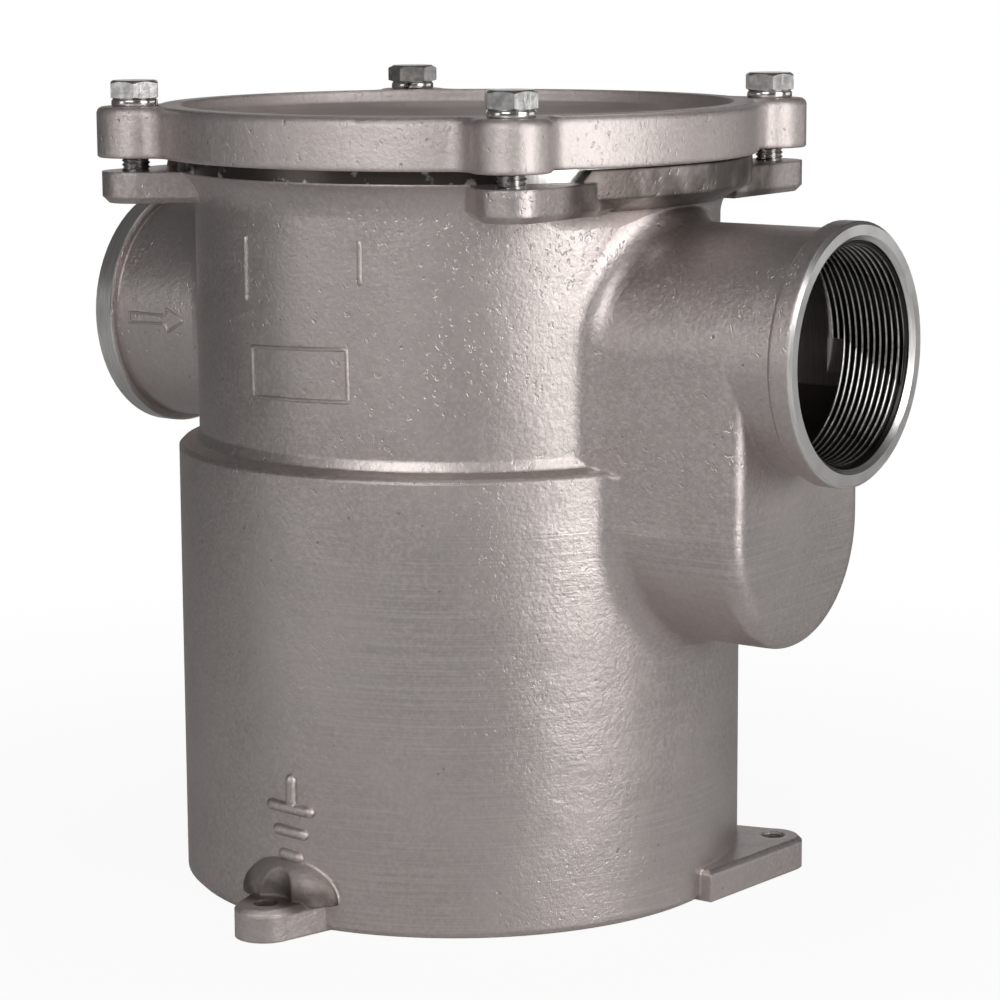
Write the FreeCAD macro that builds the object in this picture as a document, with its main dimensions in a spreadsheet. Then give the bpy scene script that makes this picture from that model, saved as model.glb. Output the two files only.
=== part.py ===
import FreeCAD, Part
import math
import os

import Sketcher

# Seawater strainer, 2 1/2 inch, cast stainless steel.
# Millimetres. +Z is up, the flat underside lies on Z = 0 and the drum's axis is the Z axis.
# The inlet port points to -X, the outlet port to +X and one foot points to -Y.

DIMENSIONS = [
    # lower drum and its foot plates
    ("step_width", 7.3),
    ("drum_edge_bevel", 2.2),
    ("drum_wall", 5.3),
    ("floor_thickness", 6.0),
    ("step_height", 156.0),
    ("step_edge_bevel", 1.4),
    ("ledge_drop", 4.0),
    ("foot_hole_reach", 12.9),
    ("foot_hole_radius", 4.25),
    ("foot_tip_radius", 10.5),
    ("foot_root_half_width", 15.5),
    ("foot_thickness", 11.0),
    ("foot_edge_bevel", 1.6),
    ("foot_web_start", 3.5),
    ("foot_web_reach", 4.4),
    ("foot_web_depth", 24.2),
    ("foot_boss_width", 40.0),
    ("foot_boss_rise", 12.5),
    ("foot_boss_reach", 9.0),
    ("foot_boss_sink", 1.0),
    ("foot_spotface_radius", 8.6),
    # neck, partition and top flange
    ("neck_radius", 92.3),
    ("neck_wall", 5.3),
    ("step_cove", 4.6),
    ("partition_thickness", 6.0),
    ("partition_width", 10.6),
    ("flare_height", 11.3),
    ("flare_reach", 6.3),
    ("flare_curve", 14.0),
    ("lug_thickness", 10.8),
    ("lug_radius", 11.8),
    ("lug_edge_bevel", 2.2),
    ("lug_web_end", 38.0),
    ("lug_web_length", 30.25),
    ("rim_rise", 4.8),
    ("rim_reach", 5.7),
    ("shoulder_reach", 11.1),
    ("shoulder_rise", 6.0),
    ("shoulder_half_angle", 31.0),
    ("shoulder_drop", 0.7),
    ("shoulder_end_bevel", 4.0),
    # ports and duct
    ("port_rise", 39.4),
    ("port_headroom", 4.1),
    ("port_tube_radius", 41.0),
    ("port_blend", 11.0),
    ("outlet_face", 161.3),
    ("inlet_face", 134.2),
    ("collar_rise", 2.8),
    ("collar_width", 9.0),
    ("collar_chamfer", 1.2),
    ("port_wall", 3.4),
    ("thread_depth", 32.0),
    ("mouth_chamfer", 1.6),
    ("thread_step", 1.7),
    ("duct_face", 140.5),
    ("duct_low_drop", 20.0),
    ("duct_end_round", 6.0),
    ("duct_wall", 5.2),
    ("duct_hollow_lap", 18.5),
    # lid, its seal and its bolts
    ("lid_overhang", 2.2),
    ("lid_height", 17.4),
    ("lid_top_round", 2.4),
    ("lid_bottom_bevel", 0.6),
    ("lid_rim_width", 8.6),
    ("lid_recess_depth", 6.4),
    ("lid_recess_bevel", 2.6),
    ("lid_plate", 7.2),
    ("lid_boss_radius", 13.2),
    ("lid_boss_blend", 8.0),
    ("spigot_clearance", 0.8),
    ("spigot_wall", 5.0),
    ("spigot_drop", 5.6),
    ("spigot_chamfer", 1.0),
    ("lid_underside_slope", 4.0),
    ("seal_groove_width", 5.4),
    ("seal_groove_depth", 3.6),
    ("seal_clearance", 0.2),
    ("seal_corner", 1.2),
    ("bolt_reach", 14.5),
    ("bolt_radius", 4.95),
    ("bolt_length", 35.0),
    ("bolt_tip_chamfer", 1.0),
    ("bolt_head_flats", 16.0),
    ("bolt_head_height", 6.4),
    ("bolt_head_chamfer", 0.9),
    ("bolt_head_inset", 0.3),
    ("thread_clearance", 0.05),
    ("bolt_hole_radius", 5.5),
    ("washer_radius", 8.0),
    ("washer_bore_radius", 5.15),
    ("washer_thickness", 2.5),
    ("washer_split", 1.4),
    # basket
    ("basket_gasket_thickness", 1.5),
    ("basket_gasket_setback", 1.0),
    ("basket_rim_clearance", 1.6),
    ("basket_rim_thickness", 2.0),
    ("basket_rim_bevel", 0.5),
    ("basket_clearance", 2.8),
    ("screen_sheet", 1.2),
    ("screen_lip", 2.2),
    ("screen_bottom", 18.0),
    ("weld_gap", 0.02),
    ("screen_inner_gap", 0.3),
    ("basket_bottom_sheet", 1.5),
    ("basket_bottom_lip", 9.0),
    ("band_width", 9.0),
    ("band_sheet", 1.0),
    ("middle_band_height", 82.0),
    ("strap_width", 14.0),
    ("strap_sheet", 1.0),
    ("strap_foot_gap", 0.3),
    ("strap_top_drop", 1.0),
    ("screen_panels", 48),
    ("screen_hole_radius", 4.6),
    ("screen_hole_rows", 6),
    ("screen_hole_start", 33.0),
    ("screen_hole_pitch", 19.5),
    ("screen_punch_reach", 3.6),
    ("bottom_hole_radius", 4.0),
    ("bottom_hole_circle", 27.0),
    # bail handle
    ("ear_standoff", 3.6),
    ("ear_sheet", 2.0),
    ("ear_width", 16.0),
    ("ear_height", 11.4),
    ("ear_foot", 4.6),
    ("ear_foot_sheet", 1.5),
    ("ear_corner", 5.3),
    ("handle_wire_radius", 2.5),
    ("handle_wire_sides", 12),
    ("handle_hole_clearance", 0.08),
    ("handle_rest_gap", 0.3),
    ("handle_end", 2.6),
    ("handle_end_radius", 3.2),
    ("handle_end_length", 1.4),
    ("handle_shoulder", 5.6),
    ("handle_leg", 40.0),
    ("handle_inset", 1.6),
    ("handle_grip_half", 36.0),
    ("handle_bend", 5.0),
    ("handle_corner", 14.0),
    # how far a cutting solid runs past the face it opens
    ("cut_overrun", 1.0),
]


class Size:
    """A number together with the sheet expression that gives it."""

    def __init__(self, value, text):
        self.value = float(value)
        self.text = text

    def __add__(self, other):
        other = as_size(other)
        return Size(self.value + other.value, "(%s + %s)" % (self.text, other.text))

    def __sub__(self, other):
        other = as_size(other)
        return Size(self.value - other.value, "(%s - %s)" % (self.text, other.text))

    def __mul__(self, other):
        other = as_size(other)
        return Size(self.value * other.value, "(%s * %s)" % (self.text, other.text))

    def __truediv__(self, other):
        other = as_size(other)
        return Size(self.value / other.value, "(%s / %s)" % (self.text, other.text))

    def __neg__(self):
        return Size(-self.value, "(0 - %s)" % self.text)

    __radd__ = __add__
    __rmul__ = __mul__


def as_size(number):
    """Return the number as a Size."""
    if isinstance(number, Size):
        return number
    return Size(number, repr(float(number)))


class Dimensions:
    """The sheet's cells, each read by its alias."""

    def __init__(self, sheet, names):
        for name in names:
            setattr(self, name, Size(sheet.get(name), "sizes." + name))


doc = FreeCAD.newDocument("strainer")
sheet = doc.addObject("Spreadsheet::Sheet", "sizes")
for row, (alias, number) in enumerate(DIMENSIONS, start=1):
    sheet.set("A%d" % row, alias)
    sheet.set("B%d" % row, str(number))
    sheet.setAlias("B%d" % row, alias)
doc.recompute()
d = Dimensions(sheet, [alias for alias, number in DIMENSIONS])

# Sizes that follow from others: radii outwards from the neck, heights upwards from the step.
d.neck_bore = d.neck_radius - d.neck_wall
d.drum_radius = d.neck_radius + d.step_width
d.flare_radius = d.neck_radius + d.flare_reach
d.rim_radius = d.neck_radius + d.rim_reach
d.shoulder_radius = d.neck_radius + d.shoulder_reach
d.lid_radius = d.shoulder_radius + d.lid_overhang
d.lid_recess_radius = d.lid_radius - d.lid_rim_width
d.bolt_circle = d.rim_radius + d.bolt_reach
d.foot_hole_circle = d.drum_radius + d.foot_hole_reach
d.foot_web_root = d.drum_radius - d.foot_web_depth
d.duct_hollow_start = d.neck_radius - d.duct_hollow_lap
d.partition_hole_radius = d.neck_bore - d.partition_width
d.basket_gasket_inner_radius = d.partition_hole_radius + d.basket_gasket_setback
d.basket_rim_radius = d.neck_bore - d.basket_rim_clearance
d.screen_radius = d.partition_hole_radius - d.basket_clearance
d.ear_distance = d.screen_radius + d.ear_standoff
d.handle_reach = d.screen_radius - d.handle_inset
d.collar_radius = d.port_tube_radius + d.collar_rise
d.thread_wall_radius = d.port_tube_radius - d.port_wall
d.bore_radius = d.thread_wall_radius - d.thread_step
d.port_height = d.step_height + d.port_rise
d.duct_low_centre = d.step_height - d.duct_low_drop
d.flare_start = d.port_height + d.port_tube_radius + d.port_headroom
d.lug_top = d.flare_start + d.flare_height
d.shoulder_foot = d.flare_start + d.shoulder_rise
d.rim_top = d.lug_top + d.rim_rise

# Angles of the bolts and of the feet about the drum's axis, and the root of a half.
BOLT_ANGLES = [-45.0, 45.0, 135.0, 225.0]
FOOT_ANGLES = [-90.0, 30.0, 150.0]
HALF_ROOT = math.sqrt(0.5)

ALONG_X = FreeCAD.Rotation(FreeCAD.Vector(0, 1, 0), 90)
FRONT_PLANE = FreeCAD.Rotation(FreeCAD.Vector(1, 0, 0), 90)
SIDE_PLANE = FreeCAD.Rotation(0.5, 0.5, 0.5, 0.5)
FLAT_PLANE = FreeCAD.Rotation()

parts = []


def place(obj, x=0, y=0, z=0, rotation=None):
    """Turn and place an object, with each coordinate bound to the sheet."""
    if rotation is not None:
        obj.Placement = FreeCAD.Placement(FreeCAD.Vector(), rotation)
    for axis, size in (("x", x), ("y", y), ("z", z)):
        size = as_size(size)
        if size.value != 0.0:
            obj.setExpression("Placement.Base." + axis, size.text)


def bind(obj, **sizes):
    """Bind properties of an object to sizes."""
    for name, size in sizes.items():
        obj.setExpression(name, as_size(size).text)


def fix(sketch, direction, geometry, point, size):
    """Hold one coordinate of a sketch point at a size measured from the origin."""
    size = as_size(size)
    if size.value == 0.0:
        axis = -2 if direction == "DistanceX" else -1
        sketch.addConstraint(Sketcher.Constraint("PointOnObject", geometry, point, axis))
        return
    index = sketch.addConstraint(
        Sketcher.Constraint(direction, -1, 1, geometry, point, size.value))
    sketch.setExpression("Constraints[%d]" % index, size.text)


def arc_between(start, end, centre, side):
    """Return the arc from start to end about a centre, anticlockwise (1) or clockwise (-1)."""
    angles = [math.atan2(p.y - centre.y, p.x - centre.x) for p in (start, end)]
    if side < 0:
        angles.reverse()
    ring = Part.Circle(centre, FreeCAD.Vector(0, 0, 1), (start - centre).Length)
    return Part.ArcOfCircle(ring, angles[0], angles[1])


def outline(sketch, start, steps):
    """Draw a closed outline: each step is an end point, or (end point, centre, side) for an arc."""
    corners = [start]
    for step in steps:
        corners.append(step[0] if len(step) == 3 else step)
    if len(steps[-1]) == 2:
        corners.append(start)
        steps = steps + [start]
    joints = []
    for number, step in enumerate(steps):
        here = corners[number]
        there = corners[number + 1]
        first = FreeCAD.Vector(as_size(here[0]).value, as_size(here[1]).value, 0)
        last = FreeCAD.Vector(as_size(there[0]).value, as_size(there[1]).value, 0)
        if len(step) == 3:
            centre = step[1]
            middle = FreeCAD.Vector(as_size(centre[0]).value, as_size(centre[1]).value, 0)
            edge = sketch.addGeometry(arc_between(first, last, middle, step[2]))
            if abs(last.x - first.x) >= abs(last.y - first.y):
                fix(sketch, "DistanceY", edge, 3, centre[1])
            else:
                fix(sketch, "DistanceX", edge, 3, centre[0])
            joints.append((edge, 1, 2) if step[2] > 0 else (edge, 2, 1))
        else:
            edge = sketch.addGeometry(Part.LineSegment(first, last))
            joints.append((edge, 1, 2))
    for number, (edge, begin, finish) in enumerate(joints):
        following = joints[(number + 1) % len(joints)]
        sketch.addConstraint(
            Sketcher.Constraint("Coincident", edge, finish, following[0], following[1]))
        fix(sketch, "DistanceX", edge, begin, corners[number][0])
        fix(sketch, "DistanceY", edge, begin, corners[number][1])


def circle(sketch, x, y, radius):
    """Draw a circle held by its centre and radius."""
    radius = as_size(radius)
    centre = FreeCAD.Vector(as_size(x).value, as_size(y).value, 0)
    edge = sketch.addGeometry(Part.Circle(centre, FreeCAD.Vector(0, 0, 1), radius.value))
    index = sketch.addConstraint(Sketcher.Constraint("Radius", edge, radius.value))
    sketch.setExpression("Constraints[%d]" % index, radius.text)
    fix(sketch, "DistanceX", edge, 3, x)
    fix(sketch, "DistanceY", edge, 3, y)


def free_sketch(name, plane, x=0, y=0, z=0):
    """Add a sketch that stands by itself in one of the main planes."""
    sketch = doc.addObject("Sketcher::SketchObject", name)
    place(sketch, x, y, z, plane)
    return sketch


def new_body(name):
    """Add a body whose label names the piece."""
    body = doc.addObject("PartDesign::Body", name)
    body.Label = name
    body.Placement = FreeCAD.Placement()
    return body


def body_sketch(body, name, role, offset=None):
    """Add a sketch on one of the body's own origin planes, raised by an offset."""
    plane = [item for item in body.Origin.OriginFeatures if item.Role == role][0]
    sketch = body.newObject("Sketcher::SketchObject", name)
    sketch.AttachmentSupport = [(plane, "")]
    sketch.MapMode = "FlatFace"
    if offset is not None:
        sketch.setExpression("AttachmentOffset.Base.z", as_size(offset).text)
    return sketch


def revolve(body, name, start, steps, angle=360.0):
    """Turn a closed half section, drawn in the XZ plane, about the Z axis."""
    sketch = body_sketch(body, name + "_section", "XZ_Plane")
    outline(sketch, start, steps)
    feature = body.newObject("PartDesign::Revolution", name)
    feature.Profile = sketch
    feature.ReferenceAxis = (sketch, ["V_Axis"])
    feature.Angle = angle
    return feature


def groove(body, name, start, steps):
    """Cut a turned groove, its half section drawn in the XZ plane."""
    sketch = body_sketch(body, name + "_section", "XZ_Plane")
    outline(sketch, start, steps)
    feature = body.newObject("PartDesign::Groove", name)
    feature.Profile = sketch
    feature.ReferenceAxis = (sketch, ["V_Axis"])
    feature.Angle = 360.0
    return feature


def pad(body, name, sketch, length):
    """Add material from a sketch along its normal."""
    feature = body.newObject("PartDesign::Pad", name)
    feature.Profile = sketch
    bind(feature, Length=length)
    return feature


def pocket_down(body, name, sketch, length):
    """Remove material from a sketch against its normal."""
    feature = body.newObject("PartDesign::Pocket", name)
    feature.Profile = sketch
    bind(feature, Length=length)
    return feature


def polar(body, name, feature, count):
    """Repeat a feature evenly about the Z axis and make the pattern the body's tip."""
    axis = [item for item in body.Origin.OriginFeatures if item.Role == "Z_Axis"][0]
    pattern = body.newObject("PartDesign::PolarPattern", name)
    pattern.Originals = [feature]
    pattern.Axis = (axis, [""])
    pattern.Angle = 360.0
    bind(pattern, Occurrences=count)
    body.Tip = pattern
    return pattern


def dress(body, name, kind, feature, chosen, size):
    """Round or bevel the edges of a body's last feature that pass the given test."""
    doc.recompute()
    names = []
    for index, edge in enumerate(feature.Shape.Edges, start=1):
        if chosen(edge):
            names.append("Edge%d" % index)
    dressing = body.newObject("PartDesign::" + kind, name)
    dressing.Base = (feature, names)
    if kind == "Fillet":
        bind(dressing, Radius=size)
    else:
        bind(dressing, Size=size)
    return dressing


def close(number, target, slack=0.02):
    """Tell whether a number lies at a target."""
    return abs(number - as_size(target).value) < slack


def is_ring(edge, radius, height):
    """Tell whether an edge is a circle of this radius about the Z axis at this height."""
    curve = edge.Curve
    if not isinstance(curve, Part.Circle):
        return False
    return (close(curve.Radius, radius) and close(curve.Center.z, height)
            and abs(curve.Center.x) < 0.01 and abs(curve.Center.y) < 0.01)


def cylinder(name, radius, height, x=0, y=0, z=0, rotation=None):
    """Add a plain cylinder."""
    obj = doc.addObject("Part::Cylinder", name)
    bind(obj, Radius=radius, Height=height)
    place(obj, x, y, z, rotation)
    return obj


def box(name, length, width, height, x, y, z):
    """Add a plain block."""
    obj = doc.addObject("Part::Box", name)
    bind(obj, Length=length, Width=width, Height=height)
    place(obj, x, y, z)
    return obj


def extrude(name, sketch, direction, length):
    """Extrude a free sketch into a solid."""
    obj = doc.addObject("Part::Extrusion", name)
    obj.Base = sketch
    obj.DirMode = "Custom"
    obj.Dir = direction
    obj.Solid = True
    bind(obj, LengthFwd=length)
    return obj


def turn(name, sketch, angle=360.0):
    """Turn a free half section about the Z axis into a solid."""
    obj = doc.addObject("Part::Revolution", name)
    obj.Source = sketch
    obj.Axis = FreeCAD.Vector(0, 0, 1)
    obj.Base = FreeCAD.Vector(0, 0, 0)
    obj.Angle = angle
    obj.Solid = True
    return obj


def join(name, pieces):
    """Fuse solids into one."""
    obj = doc.addObject("Part::MultiFuse", name)
    obj.Shapes = pieces
    obj.Refine = True
    return obj


def remove(name, base, tool):
    """Cut one solid out of another."""
    obj = doc.addObject("Part::Cut", name)
    obj.Base = base
    obj.Tool = tool
    obj.Refine = True
    return obj


def overlap(name, first, second):
    """Keep what two solids share."""
    obj = doc.addObject("Part::Common", name)
    obj.Base = first
    obj.Tool = second
    obj.Refine = True
    return obj


def chosen_edges(base, size, chosen):
    """Numbers of the edges that pass the given test, each with the size to work it to."""
    doc.recompute()
    amount = as_size(size).value
    edges = []
    for index, edge in enumerate(base.Shape.Edges, start=1):
        if chosen(edge):
            edges.append((index, amount, amount))
    return edges


def rounded(name, base, size, chosen):
    """Round the edges of a free solid that pass the given test."""
    edges = chosen_edges(base, size, chosen)
    obj = doc.addObject("Part::Fillet", name)
    obj.Base = base
    obj.Edges = edges
    return obj


def bevelled(name, base, size, chosen):
    """Bevel the edges of a free solid that pass the given test."""
    edges = chosen_edges(base, size, chosen)
    obj = doc.addObject("Part::Chamfer", name)
    obj.Base = base
    obj.Edges = edges
    return obj


def mirrored(name, source, normal):
    """Mirror a solid in a plane through the drum's axis."""
    obj = doc.addObject("Part::Mirroring", name)
    obj.Source = source
    obj.Base = FreeCAD.Vector(0, 0, 0)
    obj.Normal = normal
    return obj


def slot_solid(name, radius, low, high, start, length):
    """Extrude an upright slot outline along +X from a start plane."""
    sketch = free_sketch(name + "_outline", SIDE_PLANE, x=start)
    outline(sketch, (radius, low), [
        (radius, high),
        ((-radius, high), (0, high), 1),
        (-radius, low),
        ((radius, low), (0, low), 1),
    ])
    return extrude(name, sketch, FreeCAD.Vector(1, 0, 0), length)


def duct_outside():
    """The duct boss: an upright slot that runs out of the drum, its end edge rounded."""
    blank = slot_solid("duct_blank", d.port_tube_radius, d.duct_low_centre, d.port_height,
                       as_size(0), d.duct_face)
    end = d.duct_face.value

    def at_end(edge):
        return all(close(vertex.X, end) for vertex in edge.Vertexes)

    return rounded("duct_rounded", blank, d.duct_end_round, at_end)


def blended(name, radius, pieces):
    """Fuse tubes to an upright cylinder and round every edge where they meet its wall."""
    blank = join(name + "_blank", pieces)
    wall = as_size(radius).value

    def on_wall(edge):
        first, last = edge.ParameterRange
        points = [edge.valueAt(first + (last - first) * share) for share in (0.1, 0.4, 0.7, 0.9)]
        if any(not close(math.hypot(point.x, point.y), wall, 0.05) for point in points):
            return False
        if edge.BoundBox.ZLength < 0.01:
            return False
        return len(blank.Shape.ancestorsOfType(edge, Part.Face)) == 2

    return rounded(name + "_rounded", blank, d.port_blend, on_wall)


def port_collar(name, face, direction):
    """The machined collar at a port's mouth, with both outer edges bevelled."""
    sketch = free_sketch(name + "_section", FRONT_PLANE)
    start = face - d.collar_width
    side = float(direction)
    x_in = start * side
    x_out = face * side
    outline(sketch, (x_in, d.port_height), [
        (x_out, d.port_height),
        (x_out, d.port_height + d.collar_radius - d.collar_chamfer),
        ((face - d.collar_chamfer) * side, d.port_height + d.collar_radius),
        ((start + d.collar_chamfer) * side, d.port_height + d.collar_radius),
        (x_in, d.port_height + d.collar_radius - d.collar_chamfer),
    ])
    obj = doc.addObject("Part::Revolution", name)
    obj.Source = sketch
    obj.Axis = FreeCAD.Vector(1, 0, 0)
    obj.setExpression("Base.z", d.port_height.text)
    obj.Angle = 360.0
    obj.Solid = True
    return obj


def drum_outside(duct):
    """Lower drum with its blended duct boss, up to the step."""
    tall = cylinder("drum_tall", d.drum_radius, d.rim_top)
    blend = blended("drum_blend", d.drum_radius, [tall, duct])
    below = box("below_step", d.duct_face * 4, d.duct_face * 4, d.step_height,
                d.duct_face * -2, d.duct_face * -2, as_size(0))
    lower = overlap("drum_lower", blend, below)
    bottom = bevelled("drum_bottom_bevel", lower, d.drum_edge_bevel,
                      lambda edge: is_ring(edge, d.drum_radius, 0.0))
    return bevelled("drum_step_bevel", bottom, d.step_edge_bevel,
                    lambda edge: is_ring(edge, d.drum_radius, d.step_height))


def neck_outside(duct, inlet):
    """Neck with its blended inlet tube and duct boss, above the step."""
    tall = cylinder("neck_tall", d.neck_radius, d.lug_top)
    blend = blended("neck_blend", d.neck_radius, [tall, duct, inlet])
    above = box("above_step", d.duct_face * 4, d.duct_face * 4, d.lug_top,
                d.duct_face * -2, d.duct_face * -2, d.step_height)
    return overlap("neck_upper", blend, above)


def flange_outside():
    """Flared flange, its turned seat ring and the cove above the step, in two flats."""
    inner = d.neck_bore
    cove_x = d.neck_radius + d.step_cove
    cove_z = d.step_height + d.step_cove
    middle = d.step_cove * HALF_ROOT
    sketch = free_sketch("flange_section", FRONT_PLANE)
    outline(sketch, (inner, d.step_height), [
        (cove_x, d.step_height),
        (cove_x - middle, cove_z - middle),
        (d.neck_radius, cove_z),
        (d.neck_radius, d.flare_start),
        ((d.flare_radius, d.lug_top), (d.neck_radius + d.flare_curve, d.flare_start), -1),
        (d.rim_radius, d.lug_top),
        (d.rim_radius, d.rim_top),
        (inner, d.rim_top),
    ])
    return turn("flange_ring", sketch)


def shoulder():
    """Full-height part of the flange over the outlet side, sloped down to a lug at each end."""
    inner = d.neck_bore
    top = d.rim_top - d.shoulder_drop
    sketch = free_sketch("shoulder_section", FRONT_PLANE)
    outline(sketch, (inner, d.flare_start), [
        (d.neck_radius, d.flare_start),
        (d.shoulder_radius, d.shoulder_foot),
        (d.shoulder_radius, top),
        (inner, top),
    ])
    ring = turn("shoulder_ring", sketch)
    bind(ring, Angle=d.shoulder_half_angle * 2)
    place(ring)
    ring.Placement.Rotation = FreeCAD.Rotation(FreeCAD.Vector(0, 0, 1),
                                               -d.shoulder_half_angle.value)
    ring.setExpression("Placement.Rotation.Angle", (-d.shoulder_half_angle).text)
    return bevelled("shoulder_sloped", ring, d.shoulder_end_bevel,
                    lambda edge: isinstance(edge.Curve, Part.Line)
                    and all(close(vertex.Z, top) for vertex in edge.Vertexes))


def lug():
    """One bolt lug with the straight web that runs back to the shoulder."""
    centre = d.bolt_circle * HALF_ROOT
    swing = d.lug_radius * HALF_ROOT
    root = centre - d.lug_web_length
    sketch = free_sketch("lug_outline", FLAT_PLANE, z=d.lug_top - d.lug_thickness)
    outline(sketch, (centre - swing, -(centre + swing)), [
        ((centre + d.lug_radius, -centre), (centre, -centre), 1),
        (centre + d.lug_radius, -d.lug_web_end),
        (root, -d.lug_web_end),
        (root, -(root + swing * 2)),
    ])
    blank = extrude("lug_blank", sketch, FreeCAD.Vector(0, 0, 1), d.lug_thickness)
    low = (d.lug_top - d.lug_thickness).value
    return bevelled("lug_bevelled", blank, d.lug_edge_bevel,
                    lambda edge: all(close(vertex.Z, low) for vertex in edge.Vertexes))


def front_foot():
    """The foot under the front, a tapered tongue with a rounded tip."""
    centre = d.foot_hole_circle
    slope = math.atan2(d.foot_root_half_width.value - d.foot_tip_radius.value,
                       d.foot_hole_circle.value - d.drum_radius.value)
    side = d.foot_tip_radius * math.cos(slope)
    lead = d.foot_tip_radius * math.sin(slope)
    sketch = free_sketch("front_foot_outline", FLAT_PLANE)
    root = d.drum_radius - d.drum_wall
    outline(sketch, (-side, -(centre + lead)), [
        ((side, -(centre + lead)), (0, -centre), 1),
        (d.foot_root_half_width, -root),
        (-d.foot_root_half_width, -root),
    ])
    return extrude("front_foot_plate", sketch, FreeCAD.Vector(0, 0, 1), d.foot_thickness)


def side_foot():
    """The outlet side's foot, with a straight outer edge that runs back to the middle plane."""
    angle = math.radians(FOOT_ANGLES[1])
    x = d.foot_hole_circle * math.cos(angle)
    y = d.foot_hole_circle * math.sin(angle)
    tip = d.foot_tip_radius
    root = d.drum_radius - d.drum_wall
    across = d.foot_root_half_width
    far_x = root * math.cos(angle) - across * math.sin(angle)
    far_y = root * math.sin(angle) + across * math.cos(angle)
    sketch = free_sketch("side_foot_outline", FLAT_PLANE)
    outline(sketch, (x + tip, y), [
        ((x - tip * math.sin(angle), y + tip * math.cos(angle)), (x, y), 1),
        (far_x, far_y),
        (d.foot_web_root, d.foot_web_start),
        (d.drum_radius + d.foot_web_reach, d.foot_web_start),
    ])
    return extrude("side_foot_plate", sketch, FreeCAD.Vector(0, 0, 1), d.foot_thickness)


def foot_bevels(name, plate):
    """Bevel the top edges of a foot plate."""
    return bevelled(name, plate, d.foot_edge_bevel,
                    lambda edge: edge.BoundBox.ZLength < 0.01
                    and close(edge.BoundBox.Center.z, d.foot_thickness))


def foot_boss():
    """The rounded boss between the front foot and the drum, cleared round the fixing hole."""
    swell = doc.addObject("Part::Ellipsoid", "foot_boss_swell")
    bind(swell, Radius1=d.foot_boss_rise, Radius2=d.foot_boss_width / 2,
         Radius3=d.foot_boss_reach)
    place(swell, 0, -(d.drum_radius - d.foot_boss_sink), d.foot_thickness)
    above = box("above_foot", d.foot_boss_width * 2, d.foot_boss_width * 2, d.foot_boss_rise * 2,
                -d.foot_boss_width, -(d.drum_radius + d.foot_boss_width),
                d.foot_thickness - d.foot_boss_sink)
    return overlap("foot_boss", swell, above)


def foot_holes():
    """The three fixing holes, and the spot face over the front one."""
    holes = []
    for number, angle in enumerate(FOOT_ANGLES, start=1):
        turned = math.radians(angle)
        x = d.foot_hole_circle * math.cos(turned)
        y = d.foot_hole_circle * math.sin(turned)
        holes.append(cylinder("foot_hole_%d" % number, d.foot_hole_radius,
                              d.foot_thickness * 3, x, y, -d.foot_thickness))
    spot = cylinder("foot_spotface", d.foot_spotface_radius, d.foot_boss_rise * 2,
                    0, -d.foot_hole_circle, d.foot_thickness)
    return holes + [spot]


def water_space():
    """Everything hollow inside the casting, as solids to cut away."""
    ledge_top = d.step_height - d.ledge_drop
    ledge_bottom = ledge_top - d.partition_thickness
    upper = cylinder("upper_chamber", d.neck_bore, d.rim_top, z=ledge_top)
    lower = cylinder("lower_chamber", d.drum_radius - d.drum_wall,
                     ledge_bottom - d.floor_thickness, z=d.floor_thickness)
    passage = cylinder("basket_passage", d.partition_hole_radius, d.partition_thickness * 3,
                       z=ledge_bottom - d.partition_thickness)
    inlet = cylinder("inlet_bore", d.bore_radius, d.inlet_face + d.cut_overrun,
                     x=-(d.inlet_face + d.cut_overrun), z=d.port_height, rotation=ALONG_X)
    threaded = d.thread_depth + d.cut_overrun
    inlet_thread = cylinder("inlet_thread_bore", d.thread_wall_radius, threaded,
                            x=-(d.inlet_face + d.cut_overrun), z=d.port_height,
                            rotation=ALONG_X)
    outlet_thread = cylinder("outlet_thread_bore", d.thread_wall_radius, threaded,
                             x=d.outlet_face - d.thread_depth, z=d.port_height,
                             rotation=ALONG_X)
    start = d.duct_hollow_start
    cavity = slot_solid("duct_hollow", d.port_tube_radius - d.duct_wall, d.duct_low_centre,
                        d.port_height, start, d.duct_face - d.duct_wall - start)
    neck_core = cylinder("neck_core", d.neck_radius, d.rim_top, z=ledge_bottom)
    duct = remove("duct_space", cavity, neck_core)
    bites = [upper, lower, passage, inlet, inlet_thread, outlet_thread, duct]
    for name, face, side in (("inlet_mouth", d.inlet_face, -1), ("outlet_mouth", d.outlet_face, 1)):
        cone = doc.addObject("Part::Cone", name)
        bind(cone, Radius1=d.thread_wall_radius,
             Radius2=d.thread_wall_radius + d.mouth_chamfer * 2, Height=d.mouth_chamfer * 2)
        tilt = FreeCAD.Rotation(FreeCAD.Vector(0, 1, 0), 90 * side)
        place(cone, (face - d.mouth_chamfer) * float(side), 0, d.port_height, tilt)
        bites.append(cone)
    return bites


def seal_groove():
    """The ring groove in the top of the rim."""
    middle = (d.neck_bore + d.rim_radius) / 2
    half = d.seal_groove_width / 2
    sketch = free_sketch("seal_groove_section", FRONT_PLANE)
    floor = d.rim_top - d.seal_groove_depth
    outline(sketch, (middle - half, floor), [
        (middle + half, floor),
        (middle + half, d.rim_top + d.cut_overrun),
        (middle - half, d.rim_top + d.cut_overrun),
    ])
    return turn("seal_groove", sketch)


def lug_holes():
    """The four tapped holes for the lid bolts."""
    holes = []
    for number, angle in enumerate(BOLT_ANGLES, start=1):
        turned = math.radians(angle)
        x = d.bolt_circle * math.cos(turned)
        y = d.bolt_circle * math.sin(turned)
        holes.append(cylinder("lug_hole_%d" % number, d.bolt_radius + d.thread_clearance,
                              d.lug_thickness * 3, x, y, d.lug_top - d.lug_thickness * 2))
    return holes


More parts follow.
